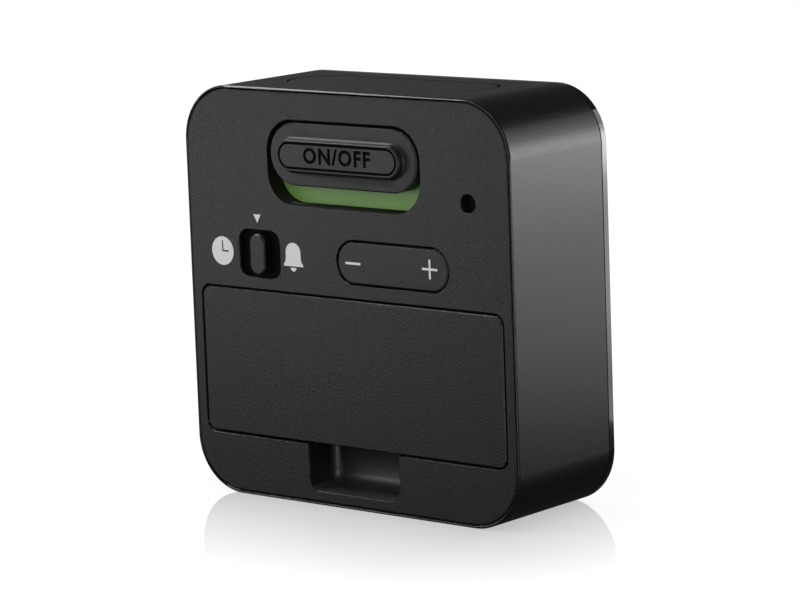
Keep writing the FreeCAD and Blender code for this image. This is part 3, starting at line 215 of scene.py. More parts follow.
def object_noise(tree: bpy.types.NodeTree, scale: float, octaves: float) -> bpy.types.NodeSocket:
    """Add a noise texture on object coordinates.

    Args:
        tree: The material's node tree.
        scale: Noise cells per metre.
        octaves: Octaves of noise.

    Returns:
        The noise value's socket.
    """
    place = tree.nodes.new("ShaderNodeTexCoord")
    noise = tree.nodes.new("ShaderNodeTexNoise")
    noise.inputs["Scale"].default_value = scale
    noise.inputs["Detail"].default_value = octaves
    noise.inputs["Roughness"].default_value = NOISE_ROUGHNESS
    tree.links.new(place.outputs["Object"], noise.inputs["Vector"])
    return noise.outputs["Fac"]


def ramp(tree: bpy.types.NodeTree, source: bpy.types.NodeSocket, low: float, high: float,
         start: float = 0.3, end: float = 0.7) -> bpy.types.NodeSocket:
    """Map a value from one range to another.

    Args:
        tree: The node tree.
        source: The socket to map.
        low: Result at the start of the range.
        high: Result at the end of the range.
        start: Lowest value read.
        end: Highest value read.

    Returns:
        The mapped socket.
    """
    node = tree.nodes.new("ShaderNodeMapRange")
    node.inputs["From Min"].default_value = start
    node.inputs["From Max"].default_value = end
    node.inputs["To Min"].default_value = low
    node.inputs["To Max"].default_value = high
    tree.links.new(source, node.inputs["Value"])
    return node.outputs["Result"]


def add_bump(tree: bpy.types.NodeTree, shader: bpy.types.Node, height: bpy.types.NodeSocket,
             strength: float, distance: float) -> None:
    """Raise the surface by a height texture.

    Args:
        tree: The material's node tree.
        shader: The shader that takes the normal.
        height: The height texture's socket.
        strength: Share of the full effect.
        distance: Height of the relief in metres.
    """
    bump = tree.nodes.new("ShaderNodeBump")
    bump.inputs["Strength"].default_value = strength
    bump.inputs["Distance"].default_value = distance
    tree.links.new(height, bump.inputs["Height"])
    tree.links.new(bump.outputs["Normal"], shader.inputs["Normal"])


@dataclass(frozen=True)
class Plastic:
    """A moulded plastic with a fine surface grain and slightly uneven colour."""

    name: str
    colour: Colour
    roughness: float
    texture: Texture
    specular: float = 0.5
    coat: float = 0.0
    coat_roughness: float = 0.05
    grain: float = 3600.0
    relief: float = 0.0001
    cloud: float = 90.0
    unevenness: float = 0.08

    def build(self) -> bpy.types.Material:
        """Make the node material."""
        material, tree, shader = shade_tree(self.name)
        darker = tuple(part * (1 - self.unevenness) for part in self.colour)
        lighter = tuple(part * (1 + self.unevenness) for part in self.colour)
        tone = blend(tree, object_noise(tree, self.cloud, octaves=3.0), darker, lighter)
        feed(tree, tone, shader.inputs["Base Color"])
        shader.inputs["Specular IOR Level"].default_value = self.specular
        shader.inputs["Coat Weight"].default_value = self.coat
        shader.inputs["Coat Roughness"].default_value = self.coat_roughness
        fine = object_noise(tree, self.grain, octaves=2.0)
        spread = self.texture.spread
        rough = ramp(tree, fine, self.roughness - spread, self.roughness + spread)
        feed(tree, rough, shader.inputs["Roughness"])
        if self.texture.bump:
            add_bump(tree, shader, fine, self.texture.bump, self.relief)
        return material


@dataclass(frozen=True)
class Metal:
    """A plated or drawn metal with slight streaks."""

    name: str
    colour: Colour
    roughness: float
    streak: float = 900.0
    spread: float = 0.25

    def build(self) -> bpy.types.Material:
        """Make the node material."""
        material, tree, shader = shade_tree(self.name)
        feed(tree, self.colour, shader.inputs["Base Color"])
        feed(tree, 1.0, shader.inputs["Metallic"])
        streaks = object_noise(tree, self.streak, octaves=4.0)
        low, high = self.roughness * (1 - self.spread), self.roughness * (1 + self.spread)
        feed(tree, ramp(tree, streaks, low, high), shader.inputs["Roughness"])
        return material


@dataclass(frozen=True)
class Clear:
    """A clear polished sheet."""

    name: str
    tint: Colour
    index: float = 1.49
    cloud: float = 60.0
    gloss: tuple[float, float] = (0.01, 0.03)

    def build(self) -> bpy.types.Material:
        """Make the node material."""
        material, tree, shader = shade_tree(self.name)
        feed(tree, self.tint, shader.inputs["Base Color"])
        feed(tree, 1.0, shader.inputs["Transmission Weight"])
        feed(tree, self.index, shader.inputs["IOR"])
        noise = object_noise(tree, self.cloud, octaves=2.0)
        feed(tree, ramp(tree, noise, *self.gloss), shader.inputs["Roughness"])
        return material


@dataclass(frozen=True)
class Board:
    """Green lacquer over copper tracks."""

    name: str
    lacquer: Colour
    track: Colour
    pitch: float = 420.0
    track_width: float = 0.06
    dimming: float = 0.85
    grain: float = 700.0
    gloss: tuple[float, float] = (0.22, 0.34)

    def build(self) -> bpy.types.Material:
        """Make the node material."""
        material, tree, shader = shade_tree(self.name)
        place = tree.nodes.new("ShaderNodeTexCoord")
        turn = tree.nodes.new("ShaderNodeMapping")
        turn.inputs["Rotation"].default_value = (math.pi / 2, 0, 0)
        tree.links.new(place.outputs["Object"], turn.inputs["Vector"])
        tracks = tree.nodes.new("ShaderNodeTexBrick")
        tree.links.new(turn.outputs["Vector"], tracks.inputs["Vector"])
        feed(tree, self.lacquer, tracks.inputs["Color1"])
        feed(tree, tuple(part * self.dimming for part in self.lacquer), tracks.inputs["Color2"])
        feed(tree, self.track, tracks.inputs["Mortar"])
        feed(tree, self.pitch, tracks.inputs["Scale"])
        feed(tree, self.track_width, tracks.inputs["Mortar Size"])
        feed(tree, tracks.outputs["Color"], shader.inputs["Base Color"])
        fine = object_noise(tree, self.grain, octaves=3.0)
        feed(tree, ramp(tree, fine, *self.gloss), shader.inputs["Roughness"])
        return material


@dataclass(frozen=True)
class CellWrap:
    """A cell's printed sleeve, with a pale band at its nub and bare metal at both ends."""

    name: str
    nub: End
    sleeve: Colour = (0.012, 0.02, 0.06)
    band: Colour = (0.45, 0.45, 0.46)
    metal: Colour = (0.7, 0.69, 0.66)
    half: float = 0.0212
    band_start: float = 0.0125
    grain: float = 500.0
    gloss: tuple[float, float] = (0.2, 0.32)

    def build(self) -> bpy.types.Material:
        """Make the node material."""
        material, tree, shader = shade_tree(self.name)
        along = maths(tree, "MULTIPLY", axis_of(tree, "X"), self.nub.value)
        banded = maths(tree, "GREATER_THAN", along, self.band_start)
        bare = maths(tree, "GREATER_THAN", maths(tree, "ABSOLUTE", axis_of(tree, "X")), self.half)
        wrap = blend(tree, banded, self.sleeve, self.band)
        feed(tree, blend(tree, bare, wrap, self.metal), shader.inputs["Base Color"])
        feed(tree, bare, shader.inputs["Metallic"])
        fine = object_noise(tree, self.grain, octaves=3.0)
        feed(tree, ramp(tree, fine, *self.gloss), shader.inputs["Roughness"])
        return material


@dataclass(frozen=True)
class Painted:
    """A black plate whose lower field is painted."""

    name: str
    paint: Colour
    plain: Colour
    level: float
    grain: float = 2500.0
    gloss: tuple[float, float] = (0.42, 0.55)
    bump: float = 0.2
    relief: float = 0.00002

    def build(self) -> bpy.types.Material:
        """Make the node material."""
        material, tree, shader = shade_tree(self.name)
        below = maths(tree, "LESS_THAN", axis_of(tree, "Z"), self.level)
        feed(tree, blend(tree, below, self.plain, self.paint), shader.inputs["Base Color"])
        fine = object_noise(tree, self.grain, octaves=2.0)
        feed(tree, ramp(tree, fine, *self.gloss), shader.inputs["Roughness"])
        add_bump(tree, shader, fine, self.bump, self.relief)
        return material


BLACK = (0.003, 0.003, 0.0032)
FINISHES = {finish.name: finish for finish in (
    Plastic("case_plastic", BLACK, 0.48, Texture.SPARKED),
    Plastic("shell_plastic", BLACK, 0.34, Texture.SATIN),
    # painted sheen: a lighter, glossier black that brightens the inside of the finger recess as if
    # lit
    Plastic("recess_painted_sheen", (0.016, 0.016, 0.0165), 0.5, Texture.SATIN, specular=1.0),
    Plastic("control_plastic", (0.0095, 0.0095, 0.0099), 0.5, Texture.SATIN),
    Plastic("panel_plastic", (0.004, 0.004, 0.0045), 0.12, Texture.POLISHED, coat=1.0),
    Clear("lens_plastic", (0.97, 0.985, 0.98)),
    Plastic("display_glass", (0.55, 0.6, 0.53), 0.2, Texture.POLISHED),
    Plastic("guide_plastic", (0.8, 0.82, 0.78), 0.3, Texture.SATIN),
    Plastic("white_plastic", (0.72, 0.72, 0.7), 0.45, Texture.SATIN),
    Plastic("strip_rubber", (0.45, 0.45, 0.46), 0.7, Texture.SATIN),
    Board("board_lacquer", (0.016, 0.11, 0.045), (0.05, 0.2, 0.09)),
    Plastic("chip_plastic", (0.02, 0.02, 0.021), 0.55, Texture.SPARKED),
    Metal("can_metal", (0.6, 0.6, 0.61), 0.3),
    Plastic("sleeve_plastic", (0.02, 0.03, 0.09), 0.3, Texture.SATIN),
    CellWrap("cell_plastic", End.PLUS_X),
    CellWrap("cell_plastic_turned", End.MINUS_X),
    Metal("contact_metal", (0.72, 0.7, 0.66), 0.22),
    Painted("flag_plastic", (0.2, 0.4, 0.085), (0.004, 0.004, 0.004), 0.0585),
    # painted shade: a darker, duller black put on faces that lie in shade (the set knob's apron,
    # the front panel's rear faces, the floors of the slider's channel and letters)
    Plastic("painted_shade_black", (0.0016, 0.0016, 0.0017), 0.8, Texture.SATIN, specular=0.14),
    Metal("switch_metal", (0.55, 0.55, 0.56), 0.35),
    Plastic("lever_plastic", (0.015, 0.015, 0.016), 0.4, Texture.SATIN),
    Metal("speaker_metal", (0.16, 0.16, 0.17), 0.45),
    Plastic("foam_rubber", (0.02, 0.02, 0.02), 0.9, Texture.SPARKED),
    Metal("screw_steel", (0.5, 0.5, 0.51), 0.3),
    Plastic("print_ink", (0.75, 0.75, 0.74), 0.55, Texture.SATIN),
    Plastic("digit_ink", (0.012, 0.014, 0.013), 0.4, Texture.POLISHED),
)}


@dataclass
class Workshop:
    """Materials made once, and the small modelling steps that all classes share."""

    weld: float = 0.000001
    mark_weld: float = 0.0000005
    flat_angle: float = 0.2
    level_slack: float = 0.00002
    ease_angle: float = 60.0
    normal_weight: int = 100
    materials: dict[str, bpy.types.Material] = field(default_factory=dict)

    def material(self, name: str) -> bpy.types.Material:
        """The material of that finish, made when first asked for."""
        if name not in self.materials:
            self.materials[name] = FINISHES[name].build()
        return self.materials[name]

    def dress(self, obj: bpy.types.Object, finish: str) -> None:
        """Give an object one finish all over."""
        obj.data.materials.clear()
        obj.data.materials.append(self.material(finish))

    def flat_mark(self, outlines: Sequence[Sequence[Point]], side: Side, level: float,
                  thickness: float) -> bpy.types.Object:
        """Make one flat mark from closed outlines; an outline inside another is a hole.

        Args:
            outlines: Points in millimetres as read by someone who looks at that side: right, up.
            side: The face that carries the mark.
            level: The face's place along Y in metres.
            thickness: How far the mark stands out in metres.

        Returns:
            The mark's mesh object, settled at the origin.
        """
        curve = bpy.data.curves.new("mark", "CURVE")
        curve.dimensions = "2D"
        curve.fill_mode = "BOTH"
        curve.extrude = thickness / 2
        for outline in outlines:
            spline = curve.splines.new("POLY")
            spline.points.add(len(outline) - 1)
            spline.use_cyclic_u = True
            for point, (right, up) in zip(spline.points, outline):
                point.co = (right * MM, up * MM, 0.0, 1.0)
        mark = bpy.data.objects.new("mark", curve)
        bpy.context.scene.collection.objects.link(mark)
        return self.stand_up(mark, side, level, thickness)

    def stand_up(self, flat: bpy.types.Object, side: Side, level: float,
                 thickness: float) -> bpy.types.Object:
        """Turn a flat curve or text into a mesh that stands on the rear or front face.

        Args:
            flat: The curve or text object, drawn in X and Y.
            side: The face that carries it.
            level: The face's place along Y in metres.
            thickness: How far it stands out in metres.

        Returns:
            The mesh object, settled at the origin.
        """
        turn = math.pi if side is Side.REAR else 0.0
        flat.rotation_euler = (math.pi / 2, 0.0, turn)
        flat.location = (0.0, level + side.value * thickness / 2, 0.0)
        self.only(flat)
        bpy.ops.object.convert(target="MESH")
        mark = bpy.context.object
        self.settle(mark)
        self.only(mark)
        bpy.ops.object.mode_set(mode="EDIT")
        bpy.ops.mesh.select_all(action="SELECT")
        bpy.ops.mesh.remove_doubles(threshold=self.mark_weld)
        bpy.ops.mesh.normals_make_consistent(inside=False)
        bpy.ops.object.mode_set(mode="OBJECT")
        return mark

    def ease(self, obj: bpy.types.Object, axis: int, level: float, width: float) -> None:
        """Break the sharp edges that lie at one level.

        Args:
            obj: The mesh object.
            axis: 0, 1 or 2 for X, Y or Z.
            level: The level in metres.
            width: Width of the break in metres.
        """
        self.only(obj)
        bpy.ops.object.mode_set(mode="EDIT")
        bpy.ops.mesh.select_mode(type="EDGE")
        bpy.ops.mesh.select_all(action="DESELECT")
        mesh = bmesh.from_edit_mesh(obj.data)
        least = math.radians(self.ease_angle)
        for edge in mesh.edges:
            near = all(abs(vertex.co[axis] - level) < self.level_slack for vertex in edge.verts)
            if near and len(edge.link_faces) == 2 and edge.calc_face_angle(0.0) > least:
                edge.select_set(True)
        bmesh.update_edit_mesh(obj.data)
        bpy.ops.mesh.bevel(offset=width, offset_type="OFFSET", segments=1, affect="EDGES",
                           clamp_overlap=False)
        bpy.ops.object.mode_set(mode="OBJECT")

    def shade_where(self, obj: bpy.types.Object, finish: str,
                    test: Callable[[Vector], bool]) -> None:
        """Give some faces a second finish.

        Args:
            obj: The dressed mesh object.
            finish: The second finish.
            test: Tells from a face's centre whether it takes the second finish.
        """
        obj.data.materials.append(self.material(finish))
        for face in obj.data.polygons:
            face.material_index = 1 if test(face.center) else 0

    def carve(self, piece: bpy.types.Object, tool: bpy.types.Object) -> None:
        """Cut one mesh out of another and throw the tool away.

        Args:
            piece: The mesh that is cut.
            tool: The mesh that cuts.
        """
        self.only(piece)
        sink = piece.modifiers.new("sink", "BOOLEAN")
        sink.operation = "DIFFERENCE"
        sink.object = tool
        sink.solver = "EXACT"
        bpy.ops.object.modifier_apply(modifier=sink.name)
        bpy.data.objects.remove(tool, do_unlink=True)

    def only(self, obj: bpy.types.Object) -> None:
        """Make this the only selected and the active object."""
        if bpy.context.object and bpy.context.object.mode != "OBJECT":
            bpy.ops.object.mode_set(mode="OBJECT")
        bpy.ops.object.select_all(action="DESELECT")
        obj.select_set(True)
        bpy.context.view_layer.objects.active = obj

    def settle(self, obj: bpy.types.Object) -> None:
        """Put an object's place, turn and size into its mesh."""
        self.only(obj)
        bpy.ops.object.transform_apply(location=True, rotation=True, scale=True)

    def finish(self, obj: bpy.types.Object, name: str, finish: str, body: str,
               slot: str) -> bpy.types.Object:
        """Name, dress and attach a piece.

        Args:
            obj: The finished mesh object.
            name: The piece's name.
            finish: The finish it wears.
            body: The body it rides on.
            slot: The record's material slot; not used.

        Returns:
            The same object.
        """
        self.settle(obj)
        obj.name = name
        obj.data.name = name
        self.dress(obj, finish)
        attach(obj, body)
        log.info("piece %s with %d faces", name, len(obj.data.polygons))
        return obj

    def joined_copy(self, node: str) -> bpy.types.Object:
        """Copy a CAD node and join its loose faces.

        Args:
            node: The node to copy.

        Returns:
            The copy, which stands for the node.
        """
        source = frame["nodes"][node]
        self.only(source)
        bpy.ops.object.duplicate()
        copy = bpy.context.object
        self.only(copy)
        bpy.ops.object.mode_set(mode="EDIT")
        bpy.ops.mesh.select_all(action="SELECT")
        bpy.ops.mesh.remove_doubles(threshold=self.weld)
        bpy.ops.mesh.dissolve_limited(angle_limit=math.radians(self.flat_angle))
        bpy.ops.object.mode_set(mode="OBJECT")
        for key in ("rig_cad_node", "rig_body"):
            if key in copy:
                del copy[key]
        return copy

    def smooth(self, obj: bpy.types.Object, angle: float) -> None:
        """Smooth an object with face weighted normals.

        Args:
            obj: The mesh object.
            angle: Edges sharper than this many degrees stay sharp.
        """
        self.only(obj)
        bpy.ops.object.shade_smooth_by_angle(angle=math.radians(angle))
        weigh = obj.modifiers.new("weigh", "WEIGHTED_NORMAL")
        weigh.keep_sharp = True
        weigh.weight = self.normal_weight
        bpy.ops.object.modifier_apply(modifier=weigh.name)


def circle(right: float, up: float, radius: float, start: float = 0.0, end: float = 360.0,
           steps: int = 64) -> list[Point]:
    """Points along an arc.

    Args:
        right: Centre, to the right.
        up: Centre, upwards.
        radius: Radius.
        start: First angle in degrees.
        end: Last angle in degrees; a whole turn leaves its last point out.
        steps: Number of equal steps.

    Returns:
        The points in order.
    """
    count = steps if abs(end - start) >= 360.0 else steps + 1
    angles = [math.radians(start + (end - start) * step / steps) for step in range(count)]
    return [(right + radius * math.cos(angle), up + radius * math.sin(angle)) for angle in angles]


def extent(obj: bpy.types.Object) -> tuple[Vector, Vector]:
    """The low and high corner of a mesh in its own space."""
    places = [vertex.co for vertex in obj.data.vertices]
    return (Vector([min(place[axis] for place in places) for axis in range(3)]),
            Vector([max(place[axis] for place in places) for axis in range(3)]))


@dataclass
class CadPieces:
    """The solids: all dressed, and those that show stood in for by smooth copies."""

    shop: Workshop
    soft: tuple[str, ...] = ("battery_door", "rocker_button", "top_button", "alarm_flag",
                             "set_switch_lever", "alarm_switch_lever", "bridge_contact",
                             "cell_terminals", "speaker", "case_screws", "light_guide",
                             "lcd_panel")
    eased: str = "rear_cover"
    eased_level: float = 0.013
    easing: float = 0.0002
    press_travel: float = 0.00082
    panel_angle: float = 12.0
    panel_back: float = -0.0114
    knob_angle: float = 30.0
    apron_level: float = 0.0128
    wire_angle: float = 120.0
    recess_low: tuple[float, float, float] = (-0.0093, 0.005, 0.0024)
    recess_high: tuple[float, float, float] = (0.0093, 0.0129, 0.0112)
    nub_depth: float = 0.0002
    nub_share: float = 0.4

    def stand_in(self, node: str, finish: str, angle: float = SOFT_ANGLE,
                 sunk: Sequence[bpy.types.Object] = ()) -> bpy.types.Object:
        """Put a smooth copy in a node's place.

        Args:
            node: The node.
            finish: The finish of the copy.
            angle: Edges sharper than this many degrees stay sharp.
            sunk: Solids that are cut out of the copy.

        Returns:
            The copy.
        """
        body = frame["nodes"][node]["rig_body"]
        slot = SLOTS[node]
        copy = self.shop.joined_copy(node)
        if node == self.eased:
            self.shop.ease(copy, 1, self.eased_level, self.easing)
        for tool in sunk:
            self.shop.carve(copy, tool)
        self.shop.smooth(copy, angle)
        self.shop.finish(copy, node + "_shown", finish, body, slot)
        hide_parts(node)
        return copy

    def build(self) -> None:
        """Dress every node, smooth those that show, and paint shade and sheen on some faces."""
        for node, slot in SLOTS.items():
            self.shop.dress(frame["nodes"][node], slot)
        for node in self.soft:
            self.stand_in(node, SLOTS[node])
        self.stand_in("main_housing", "shell_plastic")
        panel = self.stand_in("front_panel", SLOTS["front_panel"], self.panel_angle)
        # painted shade: the front panel's rear faces get a darker, duller black that hides their
        # highlight
        self.shop.shade_where(panel, "painted_shade_black", lambda centre: centre.y > self.panel_back)
        cover = self.stand_in("rear_cover", SLOTS["rear_cover"])
        # painted sheen: the faces of the finger recess are lightened as if lit
        self.shop.shade_where(cover, "recess_painted_sheen", self.is_recess)
        knob = self.stand_in("set_knob", SLOTS["set_knob"], self.knob_angle)
        # painted shade: the knob's apron below the pill gets a darker, duller black
        self.shop.shade_where(knob, "painted_shade_black", lambda centre: centre.y < self.apron_level)
        self.stand_in("cell_springs", SLOTS["cell_springs"], self.wire_angle)
        springs = self.stand_in("return_springs", SLOTS["return_springs"], self.wire_angle)
        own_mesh(springs)
        self.stand_in("upper_cell", self.wrap("upper_cell"))
        self.stand_in("lower_cell", self.wrap("lower_cell"))

    def is_recess(self, centre: Vector) -> bool:
        """Whether a face of the rear cover belongs to the finger recess."""
        return all(low < place < high for low, place, high
                   in zip(self.recess_low, centre, self.recess_high))

    def wrap(self, node: str) -> str:
        """Choose the cell finish whose band lies at the cell's nub.

        Args:
            node: The cell.

        Returns:
            The finish's name.
        """
        cell = frame["nodes"][node]
        low, high = extent(cell)
        middle = (low.z + high.z) / 2
        reach = max(abs(vertex.co.z - middle) for vertex in cell.data.vertices
                    if vertex.co.x > high.x - self.nub_depth)
        narrow = reach < (high.z - low.z) * self.nub_share
        return "cell_plastic" if narrow else "cell_plastic_turned"


@dataclass
class AlarmControl:
    """The alarm slider, with ON and OFF sunk into its grip.

    The outlines of grip and channel are in millimetres, all other lengths in metres.
    """

    shop: Workshop
    cad: CadPieces
    grip_level: float = 0.0144
    middle: float = 0.0592
    grip_width: float = 26.3
    grip_height: float = 5.35
    channel_inset: float = 0.4
    channel_width: float = 0.42
    channel_depth: float = 0.0005
    shade_inset: float = 0.36
    shade_depths: tuple[float, float] = (0.00002, 0.0009)
    letters: str = "ON/OFF"
    letter_height: float = 0.0026
    capital_share: float = 0.72
    letter_spacing: float = 1.15
    letter_weight: float = 0.00012
    letter_steps: int = 3
    sunk: float = 0.00035

    def build(self) -> None:
        """Sink the channel and the letters into the slider's smooth copy and paint shade on them.
        """
        slider = self.cad.stand_in("alarm_slider", SLOTS["alarm_slider"],
                                   sunk=(self.channel(), self.lettering()))
        # painted shade: the floors of the channel and the letters get a darker, duller black
        self.shop.shade_where(slider, "painted_shade_black", self.is_sunk)

    def is_sunk(self, centre: Vector) -> bool:
        """Tell whether a face belongs to the channel or a letter.

        Args:
            centre: The face's centre.

        Returns:
            Whether it lies inside the grip's outline and a little below the grip's face.
        """
        beyond = max(abs(centre.x) / MM - (self.grip_width - self.grip_height) / 2, 0.0)
        away = math.hypot(beyond, (centre.z - self.middle) / MM)
        least, most = self.shade_depths
        inside = away < self.grip_height / 2 - self.shade_inset
        return inside and least < self.grip_level - centre.y < most

    def channel(self) -> bpy.types.Object:
        """Make the narrow channel that runs around the grip's face, as a solid.

        Returns:
            The solid.
        """
        outlines = []
        reach = (self.grip_width - self.grip_height) / 2
        up = self.middle / MM
        for inset in (self.channel_inset, self.channel_inset + self.channel_width):
            radius = self.grip_height / 2 - inset
            outlines.append(circle(reach, up, radius, -90.0, 90.0, steps=24)
                            + circle(-reach, up, radius, 90.0, 270.0, steps=24))
        depth = self.channel_depth
        return self.shop.flat_mark(outlines, Side.REAR, self.grip_level - depth, depth * 2)

    def lettering(self) -> bpy.types.Object:
        """Make the letters as a solid that reaches into the grip.

        Returns:
            The solid.
        """
        words = bpy.data.curves.new("lettering", "FONT")
        words.body = self.letters
        words.align_x = "CENTER"
        words.align_y = "CENTER"
        words.size = self.letter_height / self.capital_share
        words.space_character = self.letter_spacing
        words.extrude = self.sunk
        words.offset = self.letter_weight
        words.resolution_u = self.letter_steps
        flat = bpy.data.objects.new("lettering", words)
        bpy.context.scene.collection.objects.link(flat)
        cutter = self.shop.stand_up(flat, Side.REAR, self.grip_level, 0.0)
        cutter.location = (0.0, 0.0, self.middle)
        self.shop.settle(cutter)
        return cutter


@dataclass
class RearMarks:
    """White marks printed on the rear cover and on the rocker.

    Level and film are in metres. All else is in millimetres as read by someone who looks at the
    back: right of the middle, above the table.
    """

    shop: Workshop
    level: float = 0.013
    film: float = 0.00003
    stroke: float = 0.38
    clock_place: Point = (-27.36, 41.83)
    clock_radius: float = 2.45
    hand: float = 0.28
    hour_reach: float = 1.35
    minute_reach: float = 1.75
    bell_place: Point = (-11.5, 42.66)
    bell_radius: float = 1.62
    bell_skirt: tuple[Point, ...] = ((1.66, 41.5), (1.8, 41.0), (2.1, 40.62), (2.14, 40.3))
    clapper_level: float = 40.06
    clapper_radius: float = 0.62
    pointer: tuple[Point, ...] = ((-20.04, 48.56), (-19.24, 47.1), (-18.44, 48.56))
    minus_start: Point = (-0.04, 41.76)
    minus_end: float = 3.16
    plus_place: Point = (17.85, 42.0)
    plus_arm: float = 1.6

    def build(self) -> None:
        """Print every mark."""
        self.put(self.clock(), "clock_mark", "case", "case_plastic")
        self.put([self.bell(), self.clapper()], "bell_mark", "case", "case_plastic")
        self.put([self.pointer], "pointer_mark", "case", "case_plastic")
        self.put([self.minus()], "minus_mark", "rocker", "control_plastic")
        self.put([self.plus()], "plus_mark", "rocker", "control_plastic")

    def put(self, outlines: Sequence[Sequence[Point]], name: str, body: str, slot: str) -> None:
        """Print one mark.

        Args:
            outlines: Its closed outlines.
            name: Its name.
            body: The body it rides on.
            slot: The record's slot.
        """
        mark = self.shop.flat_mark(outlines, Side.REAR, self.level, self.film)
        self.shop.finish(mark, name, "print_ink", body, slot)

    def clock(self) -> list[list[Point]]:
        """Draw a disc with two hands left open.

        Returns:
            The outline of the disc and that of both hands together.
        """
        (right, up), half = self.clock_place, self.hand / 2
        hands = [(right - half, up - half), (right + self.hour_reach, up - half),
                 (right + self.hour_reach, up + half), (right + half, up + half),
                 (right + half, up + self.minute_reach), (right - half, up + self.minute_reach)]
        return [circle(right, up, self.clock_radius), hands]

    def bell(self) -> list[Point]:
        """Draw the bell: a dome over a skirt that widens downwards.

        Returns:
            Its outline.
        """
        right, up = self.bell_place
        dome = circle(right, up, self.bell_radius, 0.0, 180.0, steps=32)
        left = [(right - reach, level) for reach, level in self.bell_skirt]
        return dome + left + [(right + reach, level) for reach, level in reversed(self.bell_skirt)]

    def clapper(self) -> list[Point]:
        """The half disc under the bell."""
        return circle(self.bell_place[0], self.clapper_level, self.clapper_radius, 180.0, 360.0,
                      steps=20)

    def minus(self) -> list[Point]:
        """The minus's outline."""
        (start, up), end, half = self.minus_start, self.minus_end, self.stroke / 2
        return [(start, up - half), (end, up - half), (end, up + half), (start, up + half)]

    def plus(self) -> list[Point]:
        """Draw the plus.

        Returns:
            Its outline.
        """
        (right, up), arm, half = self.plus_place, self.plus_arm, self.stroke / 2
        quarter = ((arm, half), (half, half), (half, arm))
        points = []
        for cos, sin in ((1, 0), (0, 1), (-1, 0), (0, -1)):
            points += [(right + x * cos - y * sin, up + x * sin + y * cos) for x, y in quarter]
        return points


@dataclass
class Display:
    """The lit segments on the front of the display glass, with sizes in millimetres."""

    shop: Workshop
    time: str = "1008"
    digit_height: float = 14.0
    digit_width: float = 7.2
    digit_pitch: float = 9.8
    colon_room: float = 3.6
    dot_shares: tuple[float, float] = (0.3, 0.7)
    dot_radius: float = 0.95
    bar: float = 1.5
    gap: float = 0.22
    bell_shift: Point = (2.4, 3.4)
    bell_dome: Point = (1.7, 1.1)
    bell_skirt: tuple[Point, ...] = ((-1.15, 0.9), (-1.5, 0.4), (1.5, 0.4), (1.15, 0.9))
    bell_clapper: Point = (0.2, 0.42)
    film: float = 0.02
    segments: dict[str, str] = field(default_factory=lambda: {
        "0": "abcdef", "1": "bc", "8": "abcdefg"})

    def build(self) -> None:
        """Draw the time and the alarm sign."""
        low, high = extent(frame["nodes"]["lcd_panel"])
        centre = (low + high) / 2 / MM
        span = self.digit_pitch * 3 + self.colon_room + self.digit_width
        left = centre.x - span / 2
        base = centre.z - self.digit_height / 2
        outlines = []
        for place, digit in enumerate(self.time):
            start = left + place * self.digit_pitch + (self.colon_room if place > 1 else 0.0)
            outlines += self.digit(digit, start, base)
        room = self.digit_pitch - self.digit_width
        dots = left + 2 * self.digit_pitch - room / 2 + self.colon_room / 2
        for share in self.dot_shares:
            up = base + self.digit_height * share
            outlines.append(circle(dots, up, self.dot_radius, steps=24))
        self.put(outlines, "time_segments", low.y)
        right, up = self.bell_shift
        self.put(self.bell(left + right, base + self.digit_height + up), "alarm_segment", low.y)

    def put(self, outlines: Sequence[Sequence[Point]], name: str, level: float) -> None:
        """Draw one mark on the glass.

        Args:
            outlines: Its closed outlines.
            name: Its name.
            level: Place of the glass's front along Y in metres.
        """
        mark = self.shop.flat_mark(outlines, Side.FRONT, level, self.film * MM)
        self.shop.finish(mark, name, "digit_ink", "case", SLOTS["lcd_panel"])

    def bell(self, middle: float, up: float) -> list[list[Point]]:
        """Draw a small bell above the time.

        Args:
            middle: Its middle.
            up: Its lower end.

        Returns:
            Its outlines.
        """
        rise, radius = self.bell_dome
        dome = circle(middle, up + rise, radius, 0.0, 180.0, steps=16)
        skirt = [(middle + x, up + y) for x, y in self.bell_skirt]
        rise, radius = self.bell_clapper
        return [dome + skirt, circle(middle, up + rise, radius, 180.0, 360.0, steps=12)]

    def digit(self, digit: str, right: float, up: float) -> list[list[Point]]:
        """Draw the lit bars of one digit.

        Args:
            digit: The digit.
            right: Left end of its box.
            up: Lower end of its box.

        Returns:
            One outline per bar.
        """
        half, wide, tall = self.bar / 2, self.digit_width, self.digit_height
        ends = {"a": ((0, tall), (wide, tall)), "b": ((wide, tall), (wide, tall / 2)),
                "c": ((wide, tall / 2), (wide, 0)), "d": ((0, 0), (wide, 0)),
                "e": ((0, tall / 2), (0, 0)), "f": ((0, tall), (0, tall / 2)),
                "g": ((0, tall / 2), (wide, tall / 2))}
        bars = []
        for name in self.segments[digit]:
            start, end = (Vector((right + x, up + y)) for x, y in ends[name])
            along = (end - start).normalized()
            across = Vector((-along.y, along.x)) * half
            start, end = start + along * self.gap, end - along * self.gap
            shoulder = along * half
            corners = (start, start + shoulder + across, end - shoulder + across, end,
                       end - shoulder - across, start + shoulder - across)
            bars.append([tuple(corner) for corner in corners])
        return bars


